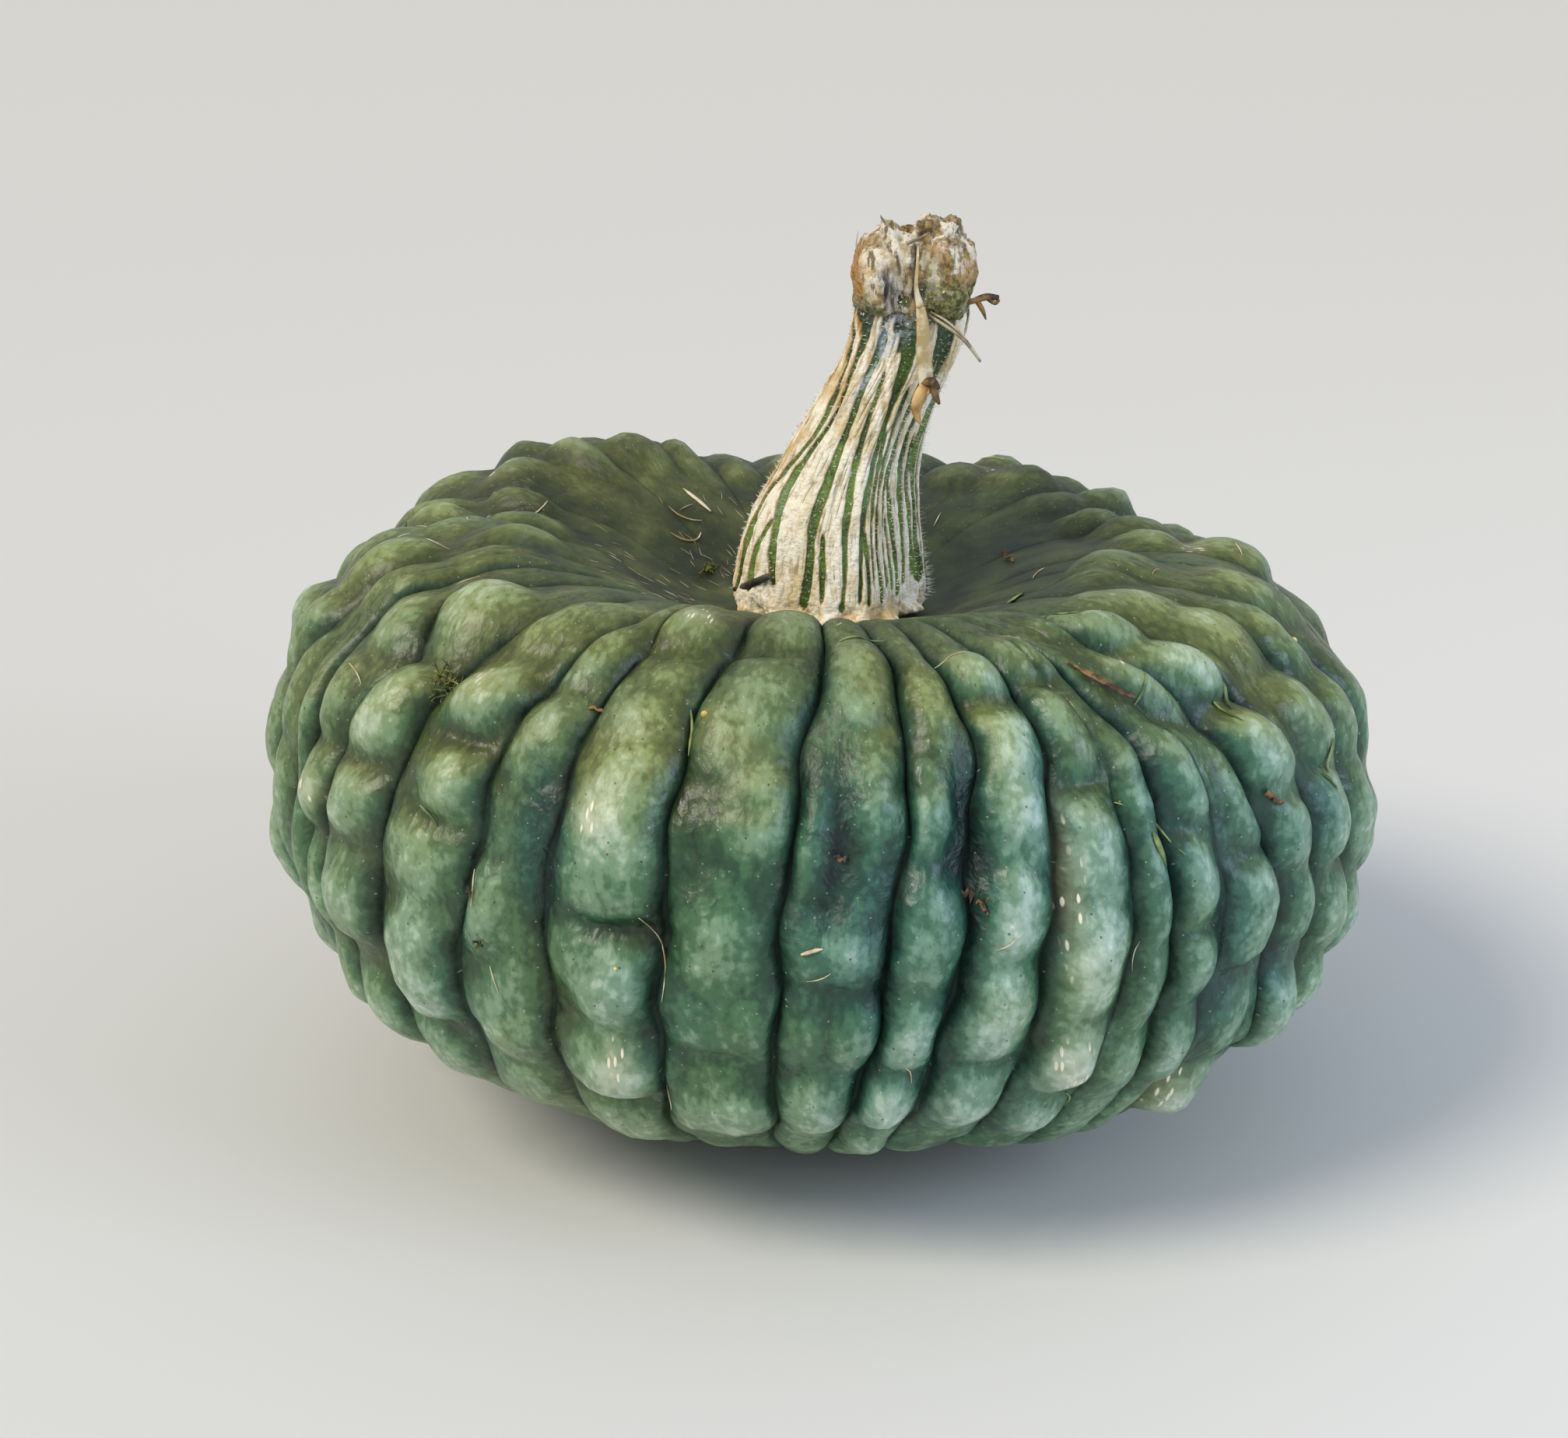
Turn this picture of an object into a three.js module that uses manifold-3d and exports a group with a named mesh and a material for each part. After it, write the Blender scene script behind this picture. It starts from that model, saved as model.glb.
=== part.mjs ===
// A winter squash: a low, broad fruit with lumpy ribs, and the striped stem it was cut from the vine with.
// Millimetres, +Z up. It rests on the flat ring round its blossom end, at z = 0, and -Y is its front.
import * as THREE from "three";
import { mergeVertices } from "three/addons/utils/BufferGeometryUtils.js";
import Module from "manifold-3d";

const wasm = await Module();
wasm.setup();

// The fruit
const BODY_RADIUS = 156; // at the rib crests
const SHOULDER_HEIGHT = 164; // of the crest circle round the stem
const SEAT_HEIGHT = 142; // of the flat where the stem grows out
const SHOULDER_TILT = 0.033; // the left shoulder stands higher than the right
const RIB_DEPTH = 7; // of the deepest grooves
const GROOVE_REACH = 13.5; // how far a groove rounds off the rib beside it
const LUMP_HEIGHT = 0.75; // of the lumps, as a share of the heights listed
const LUMP_SPREAD = 1.4; // of the lumps along their ribs, as a share of the reaches listed
// The stem
const STEM_GAP = 0.35; // between the stem's foot and its seat
const CORK_RIDGE = 0.8; // height of the ridges along the stem

const DEG = Math.PI / 180;

// Half a section of the fruit through its rib crests, from the stem's seat over the shoulder to the blossom
// end: distance from the axis as a share of BODY_RADIUS, and height as a share of SHOULDER_HEIGHT.
const MERIDIAN = [
  [0, 0.866], [0.199, 0.866], [0.288, 0.896], [0.436, 0.96], [0.603, 0.996], [0.769, 0.971],
  [0.91, 0.869], [0.981, 0.732], [1, 0.598], [0.981, 0.445], [0.917, 0.302], [0.782, 0.183],
  [0.609, 0.095], [0.462, 0.037], [0.365, 0.008], [0.301, -0.003], [0.244, -0.003], [0.192, 0.01],
  [0.103, 0.034], [0, 0.043],
];

// A place on the fruit is an azimuth, in degrees from the front towards +X, and a way: the share of the
// meridian's length from the stem (0) to the blossom end (1).
const KNOT_WAYS = [0.2, 0.28, 0.36, 0.44, 0.52, 0.6, 0.68];

// The grooves of the front half, left to right: the way where each begins, then its azimuth at each knot.
const FRONT_GROOVES = [
  [0.08, -70, -71, -73, -75, -76, -77, -78],
  [0.33, -63, -65, -67.5, -67.5, -68, -69, -70],
  [0.08, -59, -62, -64.5, -64, -63.5, -64, -65],
  [0.08, -50, -55, -53, -57.6, -59, -57, -58],
  [0.08, -36, -39, -45, -47.2, -49.5, -49, -50.5],
  [0.08, -24, -27.5, -33.2, -34.7, -37.2, -38.5, -40],
  [0.27, -19, -22.5, -24.9, -26.7, -27.1, -27.5, -29],
  [0.08, -12, -12.2, -14.5, -15.1, -15.8, -16.7, -17.8],
  [0.08, -1, -0.4, -2.5, -3.8, -4.8, -5.3, -6.2],
  [0.08, 6, 7.4, 8.1, 6.5, 4.9, 2.9, 0.4],
  [0.08, 11, 13.2, 14.8, 13.2, 11.5, 9.3, 7.5],
  [0.08, 17, 19.7, 22.2, 21.2, 20, 18.5, 17.3],
  [0.37, 20, 24, 27.5, 29.4, 28.6, 26.8, 27],
  [0.08, 22, 26.5, 31.6, 33.7, 34.2, 33.8, 34],
  [0.33, 25, 30.5, 36.5, 40.2, 39.8, 39, 38.2],
  [0.08, 28, 34, 42, 46.8, 49.2, 49, 48.2],
  [0.08, 36, 42.8, 50.5, 54.9, 56.8, 58, 58],
  [0.08, 50, 59, 62.8, 64.7, 66, 67, 68],
  [0.08, 64, 67, 73, 73.8, 75.2, 76, 77],
  [0.08, 80, 79.5, 81.5, 83, 84, 85, 86],
];
const BACK_GROOVES = 18; // spread evenly, with some wander, over the rest of the fruit

// The lumps of the front half: azimuth, way in hundredths, half width, reach towards the stem, reach towards
// the blossom end, and height. A short lower reach makes a blunt toe, and a height below 0 is a dent.
const FRONT_LUMPS = [
  [-77, 23, 16, 14, 12, 4], [-79, 32, 14, 14, 14, 4], [-72, 41, 9, 14, 14, 4],
  [-73, 50, 12, 16, 16, 4], [-66, 25, 12, 13, 13, 3], [-67, 31, 10, 12, 11, 3.5],
  [-66, 41, 7, 12, 14, 4], [-66, 52, 8, 14, 16, 3.5], [-58, 33, 13, 11, 11, 4],
  [-60.5, 40, 10, 12, 10, 4], [-60.5, 46, 10, 11, 11, 4], [-61.5, 53, 9, 12, 12, 4],
  [-60, 60, 9, 12, 12, 4], [-50, 30, 15, 13, 13, 7], [-51.5, 39.5, 14, 15, 12, 5.5],
  [-53, 45.5, 12, 10, 9, 5], [-54, 52.5, 14, 14, 10, 6], [-53, 60, 12, 14, 14, 4],
  [-35, 28.5, 12, 15, 14, 3.5], [-38.5, 36, 12, 10, 10, 5.5], [-39, 41.8, 10.5, 9.5, 9.5, 6],
  [-41, 46.5, 15, 10, 12, 4], [-42.7, 55, 15, 22, 15, 7.5], [-45, 62, 13, 12, 14, 4],
  [-28, 31, 10, 14, 14, 3.5], [-30, 37.5, 11, 12, 12, 3.5], [-34, 49.5, 8.5, 14, 12, 3.5],
  [-35.8, 55.5, 7, 9, 9, 4], [-31.8, 56.5, 13, 16, 11, 6], [-34, 63, 13, 12, 14, 3.5],
  [-19.5, 26.5, 13, 15, 12, 5], [-20.5, 34, 13, 14, 16, 3], [-20.3, 43, 16, 21, 19, 7.5],
  [-24, 50.5, 8, 9, 9, 3], [-19.5, 52, 12, 13, 13, 6.5], [-21, 58.5, 14.5, 14, 8, 7],
  [-23, 65, 15, 14, 16, 4], [-6, 25, 13, 16, 13, 4], [-8.5, 33.5, 16, 16, 18, 4],
  [-7, 41, 11, 12, 11, 4], [-10.5, 48.5, 13, 15, 15, 3.5], [-6.5, 54.5, 10, 12, 9, 4],
  [-13, 54, 8, 12, 9, 3], [-8.5, 61.5, 12, 11, 12, 4.5], [-14, 62, 6, 11, 11, 3],
  [3, 31, 11, 16, 14, 3], [4.5, 39.5, 7, 15, 13, 3.5], [-1.8, 42, 5, 13, 12, 3],
  [0.5, 43.5, 4, 26, 22, -3.5], [1, 48.5, 12, 9, 12, 4], [2.4, 54.5, 8, 9, 10, 4],
  [-2.8, 54.5, 8, 10, 10, 3.5], [-0.5, 60.5, 11, 12, 13, 4], [11, 32, 8, 18, 16, 3],
  [8.8, 40, 8, 12, 10, 4], [8.8, 48, 9.5, 15, 15, 5.5], [7.6, 54.5, 8, 12, 12, 4],
  [5.4, 60, 8, 12, 9, 7], [12.5, 41, 5, 20, 16, -4], [5, 66, 8, 12, 12, 3], [17.5, 31, 10, 9, 7, 5.5],
  [18.5, 36, 11, 8, 16, 5], [18.8, 41, 9.5, 12, 12, 4], [17.5, 46.5, 10, 11, 12, 5],
  [16, 53, 11, 16, 16, 5], [13, 60, 11, 12, 13, 4.5], [14, 44, 4, 12, 12, -2.5],
  [24.5, 29.5, 11, 9, 11, 4], [25, 35, 9, 13, 13, 4], [25.3, 43, 10.5, 12, 22, 6],
  [24.6, 50, 10.5, 22, 22, 7], [24, 57.5, 10, 14, 9, 7.5], [30.8, 39, 6, 14, 16, 4],
  [31.7, 46, 6, 16, 18, 4], [31.5, 53, 7, 14, 14, 3.5], [30, 59, 9, 12, 12, 4],
  [22.5, 63.5, 9, 9, 12, 3.5], [36.8, 39.5, 8.5, 13, 15, 6], [36.8, 46, 7.5, 14, 13, 4.5],
  [37.3, 52.5, 8, 12, 12, 3.5], [37, 58.5, 10, 13, 13, 4.5], [38.5, 33.5, 9, 12, 12, 3.5],
  [43.5, 42, 7, 15, 14, 3], [44.5, 49.5, 12, 15, 17, 5.5], [43.5, 57.5, 12, 14, 14, 4],
  [34, 27, 9, 8, 9, 4], [38.8, 28.5, 10, 9, 9, 6], [45.5, 33.2, 12, 10, 9, 6.5],
  [49.5, 39.5, 14, 12, 15, 7.5], [51.5, 45, 9, 12, 13, 5], [53, 50.5, 9, 12, 11, 4],
  [52, 59.5, 12, 17, 11, 9], [43.5, 65.5, 12, 14, 8, 10], [34, 70, 32, 24, 28, 5],
  [53, 68, 22, 22, 24, 3], [51, 26.5, 14, 13, 12, 4], [56, 31.5, 14, 13, 14, 5],
  [60.5, 39, 12, 13, 14, 5.5], [59.5, 46, 11, 14, 14, 5], [62, 53, 11, 12, 13, 5],
  [62.5, 60, 12, 13, 12, 6], [66, 34, 10, 14, 14, 4], [68.5, 40, 10, 12, 13, 5],
  [69.5, 48, 11, 14, 14, 5], [71, 56, 11, 14, 14, 5], [70, 21.5, 17, 12, 12, 6],
  [77, 31, 12, 14, 14, 4], [77, 41, 12, 14, 14, 5], [79, 51, 12, 14, 14, 5],
];

// A fixed draw, 0 to 1, for each whole number.
function draw(n) {
  const x = Math.sin(n * 127.1 + 311.7) * 43758.5453;
  return x - Math.floor(x);
}
const ease = (from, to, x) => {
  const s = Math.min(1, Math.max(0, (x - from) / (to - from)));
  return s * s * (3 - 2 * s);
};

// A smooth line through evenly spaced values, at a share of its length from 0 to 1.
function through(values, at) {
  const last = values.length - 1;
  const p = Math.min(Math.max(at, 0), 1) * last;
  const i = Math.min(Math.floor(p), last - 1);
  const s = p - i;
  const [a, b, c, d] = [-1, 0, 1, 2].map((step) => values[Math.min(Math.max(i + step, 0), last)]);
  const [m, n] = [(c - a) / 2, (d - b) / 2];
  return (2 * b - 2 * c + m + n) * s ** 3 + (3 * c - 3 * b - 2 * m - n) * s ** 2 + m * s + b;
}

// The meridian as a table of points at even steps of its length.
const MERIDIAN_STEPS = 1000;
const meridianTable = (() => {
  const raw = [];
  for (let i = 0; i <= MERIDIAN_STEPS * 2; i++) {
    const s = i / (MERIDIAN_STEPS * 2);
    raw.push([
      BODY_RADIUS * Math.max(0, through(MERIDIAN.map((p) => p[0]), s)),
      SHOULDER_HEIGHT * through(MERIDIAN.map((p) => p[1]), s),
    ]);
  }
  const lengths = [0];
  for (let i = 1; i < raw.length; i++)
    lengths.push(lengths[i - 1] + Math.hypot(raw[i][0] - raw[i - 1][0], raw[i][1] - raw[i - 1][1]));
  const total = lengths.at(-1);
  const table = [];
  for (let i = 0, j = 0; i <= MERIDIAN_STEPS; i++) {
    const want = (total * i) / MERIDIAN_STEPS;
    while (j < lengths.length - 2 && lengths[j + 1] < want) j++;
    const s = (want - lengths[j]) / (lengths[j + 1] - lengths[j]);
    table.push([0, 1].map((n) => raw[j][n] + s * (raw[j + 1][n] - raw[j][n])));
  }
  return { table, total };
})();
const MERIDIAN_LENGTH = meridianTable.total;

function meridian(way) {
  const p = Math.min(Math.max(way, 0), 1) * MERIDIAN_STEPS;
  const i = Math.min(Math.floor(p), MERIDIAN_STEPS - 1);
  const [a, b] = [meridianTable.table[i], meridianTable.table[i + 1]];
  return { radius: a[0] + (p - i) * (b[0] - a[0]), height: a[1] + (p - i) * (b[1] - a[1]) };
}

const SEAT_WAY = (0.199 * BODY_RADIUS) / MERIDIAN_LENGTH;
const FLAT_WAYS = [0.881, 0.904]; // of the edges of the flat ring that it rests on

// Azimuth of a front groove at a way.
const frontAzimuth = (groove, way) =>
  through(groove.slice(1), (way - KNOT_WAYS[0]) / (KNOT_WAYS.at(-1) - KNOT_WAYS[0]));

// All the grooves, each with where it begins and its azimuth in degrees at a way.
const grooves = FRONT_GROOVES.map((g) => ({ begins: g[0], azimuth: (way) => frontAzimuth(g, way) }));
for (let i = 1; i <= BACK_GROOVES; i++) {
  const spread = (i + 0.36 * (draw(i) - 0.5)) / (BACK_GROOVES + 1);
  const wander = 1.6 * (draw(i + 50) - 0.5);
  const bends = 5 + 4 * draw(i + 100);
  grooves.push({
    begins: i % 5 === 3 ? 0.3 : 0.08,
    azimuth: (way) => {
      const from = frontAzimuth(FRONT_GROOVES.at(-1), way);
      const to = frontAzimuth(FRONT_GROOVES[0], way) + 360;
      return from + (to - from) * spread + wander * Math.sin(bends * (way + draw(i + 150)) * 2);
    },
  });
}
const RIBS = grooves.length;

const grooveAzimuth = (k, way) => grooves[k % RIBS].azimuth(way) + (k >= RIBS ? 360 : 0);

// How deep the grooves are at a way: shallow round the stem and gone on the flat that it rests on.
const DEPTH_SHARES = [
  0, 0, 0.3, 0.5, 0.72, 0.9, 1, 1, 1, 1, 1, 0.95, 0.88, 0.75, 0.6, 0.42, 0.25, 0.1, 0, 0.12, 0,
];
const grooveDepth = (k, way) => {
  const { begins } = grooves[k % RIBS];
  const strength = 0.85 + 0.3 * draw(k % RIBS + 200);
  return RIB_DEPTH * strength * through(DEPTH_SHARES, way) * ease(begins - 0.02, begins + 0.06, way);
};

// The lumps of the back half follow its ribs, one after another down each.
const lumps = FRONT_LUMPS.map(([azimuth, way, half, up, down, height]) => {
  way /= 100;
  let rib = 0;
  while (rib < FRONT_GROOVES.length - 1 && grooveAzimuth(rib + 1, way) < azimuth) rib++;
  const [left, right] = [grooveAzimuth(rib, way), grooveAzimuth(rib + 1, way)];
  return { rib, across: (azimuth - left) / (right - left), way, half, up, down, height };
});
for (let rib = FRONT_GROOVES.length; rib < RIBS; rib++) {
  let way = 0.22 + 0.05 * draw(rib * 20);
  for (let n = 0; way < 0.68; n++) {
    const seed = rib * 20 + n;
    lumps.push({
      rib,
      across: 0.5 + 0.24 * (draw(seed + 1000) - 0.5),
      way,
      half: ribWidth(rib, way) * (0.36 + 0.14 * draw(seed + 2000)),
      up: 10 + 8 * draw(seed + 3000),
      down: 8 + 8 * draw(seed + 4000),
      height: 3.2 + 4 * draw(seed + 5000),
    });
    way += 0.055 + 0.035 * draw(seed + 6000);
  }
}

// Azimuth at a way of a line that keeps its place across a rib, 0 to 1 between groove k and the next.
function ribAzimuth(k, across, way) {
  return grooveAzimuth(k, way) * (1 - across) + grooveAzimuth(k + 1, way) * across;
}

function ribWidth(k, way) {
  return (grooveAzimuth(k + 1, way) - grooveAzimuth(k, way)) * DEG * meridian(way).radius;
}

// How far the skin stands off the meridian's surface. A lump leans with its rib and sinks into the grooves.
function standOff(k, across, way) {
  const azimuth = ribAzimuth(k, across, way);
  const { radius } = meridian(way);
  const width = ribWidth(k, way);
  const reach = Math.min(GROOVE_REACH, 0.56 * width);
  const near = [across * width, (1 - across) * width].map((d) => Math.max(0, 1 - d / reach) ** 2.4);
  let off = -grooveDepth(k, way) * near[0] - grooveDepth(k + 1, way) * near[1];
  let swell = 0;
  for (const lump of lumps) {
    const down = (way - lump.way) * MERIDIAN_LENGTH;
    const along = down / (LUMP_SPREAD * (down > 0 ? lump.down : lump.up));
    if (Math.abs(along) >= 1) continue;
    const turn = ((azimuth - ribAzimuth(lump.rib, lump.across, way) + 540) % 360) - 180;
    const inside = 1 - along ** 2 - ((turn * DEG * radius) / (1.2 * lump.half)) ** 2;
    if (inside <= 0) continue;
    const rise = LUMP_HEIGHT * lump.height * inside ** 1.5;
    if (rise > 0) swell += rise ** 3;
    else off += rise;
  }
  return off + Math.cbrt(swell) * (1 - 0.7 * Math.max(...near));
}

// A point of the skin.
function skinPoint(k, across, way) {
  const [before, here, after] = [meridian(way - 0.004), meridian(way), meridian(way + 0.004)];
  const slope = new THREE.Vector2(after.radius - before.radius, after.height - before.height).normalize();
  const off = standOff(k, across, way);
  const radius = Math.max(0, here.radius - slope.y * off);
  const azimuth = ribAzimuth(k, across, way) * DEG;
  const x = radius * Math.sin(azimuth);
  const tilt = SHOULDER_TILT * x * (1 - ease(0.45, 0.75, way)) * ease(SEAT_WAY, 0.18, way);
  return new THREE.Vector3(x, -radius * Math.cos(azimuth), Math.max(0, here.height + slope.x * off - tilt));
}

// A closed skin over rings of points, all with the same count, with a fan at each end. Each four-sided patch
// is split along the diagonal that leaves the gentler fold.
function skinOver(rings) {
  const count = rings[0].length;
  const middle = (ring) => ring.reduce((sum, p) => sum.add(p), new THREE.Vector3()).divideScalar(count);
  const points = [...rings.flat(), middle(rings[0]), middle(rings.at(-1))];
  const normal = (a, b, c) => new THREE.Plane().setFromCoplanarPoints(points[a], points[b], points[c]).normal;
  const fold = (a, b, c, d) => normal(a, b, c).dot(normal(a, c, d));
  const end = (rings.length - 1) * count;
  const [first, last] = [end + count, end + count + 1];
  const indices = [];
  for (let j = 0; j < count; j++) {
    const next = (j + 1) % count;
    indices.push(first, next, j, last, end + j, end + next);
    for (let i = 0; i < rings.length - 1; i++) {
      const [a, b, c, d] = [i * count + j, i * count + next, (i + 1) * count + next, (i + 1) * count + j];
      if (fold(a, b, c, d) > fold(b, c, d, a)) indices.push(a, b, c, a, c, d);
      else indices.push(b, c, d, b, d, a);
    }
  }
  const geometry = new THREE.BufferGeometry();
  geometry.setFromPoints(points);
  geometry.setIndex(indices);
  return geometry;
}

// Ways of the fruit's rings, closest where the lumps are.
function ringWays() {
  const ways = [SEAT_WAY * 0.98, 0.105, 0.135];
  for (let way = 0.162; way < 0.69; way += 0.0185) ways.push(way);
  return [...ways, 0.71, 0.738, 0.768, 0.8, 0.835, FLAT_WAYS[0], FLAT_WAYS[1], 0.955];
}

function fruitGeometry() {
  const rings = ringWays().map((way) => {
    const ring = [];
    for (let k = 0; k < RIBS; k++) {
      const wide = grooveAzimuth(k + 1, 0.44) - grooveAzimuth(k, 0.44) > 6.6;
      const columns = wide ? [0, 0.17, 0.5, 0.83] : [0, 0.25, 0.75];
      ring.push(...columns.map((across) => skinPoint(k, across, way)));
    }
    return ring.reverse();
  });
  return skinOver(rings);
}

// Sections of the stem, foot to top: height, middle X and Y, half width and half depth.
const STEM_SECTIONS = [
  [SEAT_HEIGHT + STEM_GAP, 2.6, 0, 25, 24.5],
  [SEAT_HEIGHT + 3, 2.5, 0, 27.6, 27],
  [149, 2.4, 0, 28, 27],
  [154, 2.5, 0, 27.2, 26],
  [161, 2.4, 0, 25.9, 24.5],
  [168, 2.9, 0, 24, 22.5],
  [175, 4.4, 0.3, 21.9, 20.5],
  [182, 6.6, 0.8, 19.8, 18.8],
  [190, 9.4, 1.4, 18.4, 17.4],
  [198, 13, 1.9, 17.1, 16.2],
  [206, 17, 2.2, 16.2, 15.4],
  [213, 20.6, 2.4, 15.8, 15],
  [220, 23, 2.4, 15.7, 15],
  [227, 24.2, 2.2, 16, 15],
  [233, 24.8, 2, 15.4, 14.4],
  [238, 25, 2, 12, 12],
];
const RIDGES = 22; // cork ridges round the stem
const STEM_SIDES = RIDGES * 3;

function stemShaft() {
  const [foot, top] = [STEM_SECTIONS[0][0], STEM_SECTIONS.at(-1)[0]];
  const rings = STEM_SECTIONS.map(([height, x, y, width, depth], i) => {
    const up = (height - foot) / (top - foot);
    const ring = [];
    for (let j = 0; j < STEM_SIDES; j++) {
      const angle = (j / STEM_SIDES) * 2 * Math.PI + 0.1;
      const five = (1.9 - 1.3 * ease(0, 0.5, up)) * Math.cos(5 * angle + 0.6);
      const grown = i === 0 ? 0 : 0.7 + 0.6 * draw(Math.floor(j / 3) + 300);
      const off = five + (j % 3 === 0 ? -1 : 0.5) * CORK_RIDGE * grown;
      const [across, back] = [(width + off) * Math.cos(angle), (depth + off) * Math.sin(angle)];
      ring.push(new THREE.Vector3(x + across, y + back, height));
    }
    return ring;
  });
  return skinOver(rings);
}

// A knobbly lump of cork, where the vine was cut away.
function corkLump(x, y, z, halves, seed) {
  const ball = new THREE.SphereGeometry(1, 16, 11);
  const position = ball.getAttribute("position");
  for (let i = 0; i < position.count; i++) {
    const p = new THREE.Vector3().fromBufferAttribute(position, i);
    const coarse = 0.06 * Math.sin(5 * p.x + seed) * Math.cos(4 * p.z - seed);
    const rough = 1 + coarse + 0.04 * Math.sin(7 * p.y + 9 * p.z + seed);
    p.multiplyScalar(rough).multiply(new THREE.Vector3(...halves));
    position.setXYZ(i, x + p.x, y + p.y, z + p.z);
  }
  return ball;
}

// A thin dry shoot along points, round or flattened, tapering from one half width to another.
function shoot(points, from, to, flat = 1, sides = 6) {
  const path = new THREE.CatmullRomCurve3(points.map((p) => new THREE.Vector3(...p)));
  const steps = points.length * 3;
  const rings = [];
  for (let i = 0; i <= steps; i++) {
    const middle = path.getPointAt(i / steps);
    const tangent = path.getTangentAt(i / steps);
    const side = new THREE.Vector3(0, 1, 0).cross(tangent).normalize();
    const out = tangent.clone().cross(side).normalize();
    const half = from + ((to - from) * i) / steps;
    const ring = [];
    for (let j = 0; j < sides; j++) {
      const angle = (j / sides) * 2 * Math.PI;
      const [w, t] = [half * Math.cos(angle), half * flat * Math.sin(angle)];
      ring.push(middle.clone().addScaledVector(side, w).addScaledVector(out, t));
    }
    rings.push(ring);
  }
  return skinOver(rings);
}

function solid(geometry) {
  const plain = new THREE.BufferGeometry().setAttribute("position", geometry.getAttribute("position"));
  if (geometry.index) plain.setIndex(geometry.index);
  const merged = mergeVertices(plain, 1e-4);
  const mesh = new wasm.Mesh({
    numProp: 3,
    vertProperties: new Float32Array(merged.getAttribute("position").array),
    triVerts: new Uint32Array(merged.index.array),
  });
  const made = new wasm.Manifold(mesh);
  if (made.volume() > 0) return made;
  for (let i = 0; i < mesh.triVerts.length; i += 3)
    [mesh.triVerts[i + 1], mesh.triVerts[i + 2]] = [mesh.triVerts[i + 2], mesh.triVerts[i + 1]];
  return new wasm.Manifold(mesh);
}

function geometryOf(manifold) {
  const { vertProperties, triVerts } = manifold.getMesh();
  const geometry = new THREE.BufferGeometry();
  geometry.setAttribute("position", new THREE.BufferAttribute(vertProperties, 3));
  geometry.setIndex(new THREE.BufferAttribute(triVerts, 1));
  return geometry;
}

function stemGeometry() {
  const pieces = [
    corkLump(17.4, -3.5, 238.4, [9.6, 12.6, 12.4], 1),
    corkLump(33.2, -1.5, 239.4, [8.6, 12, 15], 2.3),
    corkLump(24, 8.5, 237, [11.5, 9, 12], 4.1),
    // a dry leaf stalk hanging down the front from the cut
    shoot(
      [[26.6, -10.5, 240], [27.3, -13.6, 230], [27.5, -14.6, 219], [28, -13.4, 208], [25.6, -14.2, 198]],
      2.1, 1, 0.6,
    ),
    // two dry tendrils
    shoot([[36, -4, 227], [42.5, -5, 229.5], [46.5, -6, 229], [49, -6, 230.5]], 1.3, 0.8),
    shoot([[30, -9, 229], [35, -13, 225.5], [39.5, -15, 222], [43, -16, 218.5]], 1.1, 0.6),
  ];
  return geometryOf(pieces.reduce((whole, piece) => whole.add(solid(piece)), solid(stemShaft())));
}

const rind = new THREE.MeshStandardMaterial({ color: 0x5a7358, roughness: 0.42, metalness: 0 });
const cork = new THREE.MeshStandardMaterial({ color: 0xcdbf9a, roughness: 0.75, metalness: 0 });

function piece(name, geometry, material) {
  const flat = geometry.toNonIndexed();
  flat.computeVertexNormals();
  const mesh = new THREE.Mesh(flat, material);
  mesh.name = name;
  return mesh;
}

const squash = new THREE.Group();
const fruit = fruitGeometry();
squash.add(piece("fruit", geometryOf(solid(fruit)), rind));
squash.add(piece("stem", stemGeometry(), cork));

// The frame's origin is below the middle of the fruit's outline.
fruit.computeBoundingBox();
const middle = fruit.boundingBox.getCenter(new THREE.Vector3());
squash.position.set(-middle.x, -middle.y, 0);

export default squash;
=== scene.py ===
import math

import bmesh
import bpy
import numpy as np
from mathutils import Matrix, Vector, noise
from mathutils.bvhtree import BVHTree


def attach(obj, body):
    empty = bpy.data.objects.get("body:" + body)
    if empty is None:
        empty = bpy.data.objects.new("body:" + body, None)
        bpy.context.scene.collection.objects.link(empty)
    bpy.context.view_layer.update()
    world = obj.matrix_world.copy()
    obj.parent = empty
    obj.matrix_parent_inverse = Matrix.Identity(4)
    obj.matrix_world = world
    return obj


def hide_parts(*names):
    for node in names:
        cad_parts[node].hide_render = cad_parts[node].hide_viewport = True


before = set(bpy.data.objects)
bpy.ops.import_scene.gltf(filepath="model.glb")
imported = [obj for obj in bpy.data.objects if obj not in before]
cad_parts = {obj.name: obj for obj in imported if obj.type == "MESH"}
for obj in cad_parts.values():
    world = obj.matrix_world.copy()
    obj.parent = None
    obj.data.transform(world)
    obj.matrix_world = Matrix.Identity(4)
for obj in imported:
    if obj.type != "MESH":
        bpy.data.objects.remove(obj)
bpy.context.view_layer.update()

MM = 0.001
# The fruit's own axis stands here in the shared frame.
AXIS = np.array([0.66, -0.7, 0.0])

BODY_RADIUS = 156
SHOULDER_HEIGHT = 164
# The top sinks by this much for each millimetre towards +X.
SHOULDER_TILT = 0.033
RIB_DEPTH = 7.0
# A rib rolls over into a crevice within this distance of it, or within a share of the rib's width where that
# is less.
GROOVE_REACH = 3.6
GROOVE_REACH_SHARE = 0.36
# How much of a groove's depth is cut, and how that is shared between the rib's arch, its roll and a slit.
RIB_ROUNDING = 0.64
ARCH_SHARE = 0.4
ROLL_SHARE = 0.55
SLIT_SHARE = 0.13
SLIT_WIDTH = 0.8
# What the lumps' listed heights, reaches and half widths are multiplied by, and the power that rounds them.
LUMP_HEIGHT = 0.95
LUMP_SPREAD = 1.45
LUMP_BREADTH = 1.3
LUMP_POWER = 1.7
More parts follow.
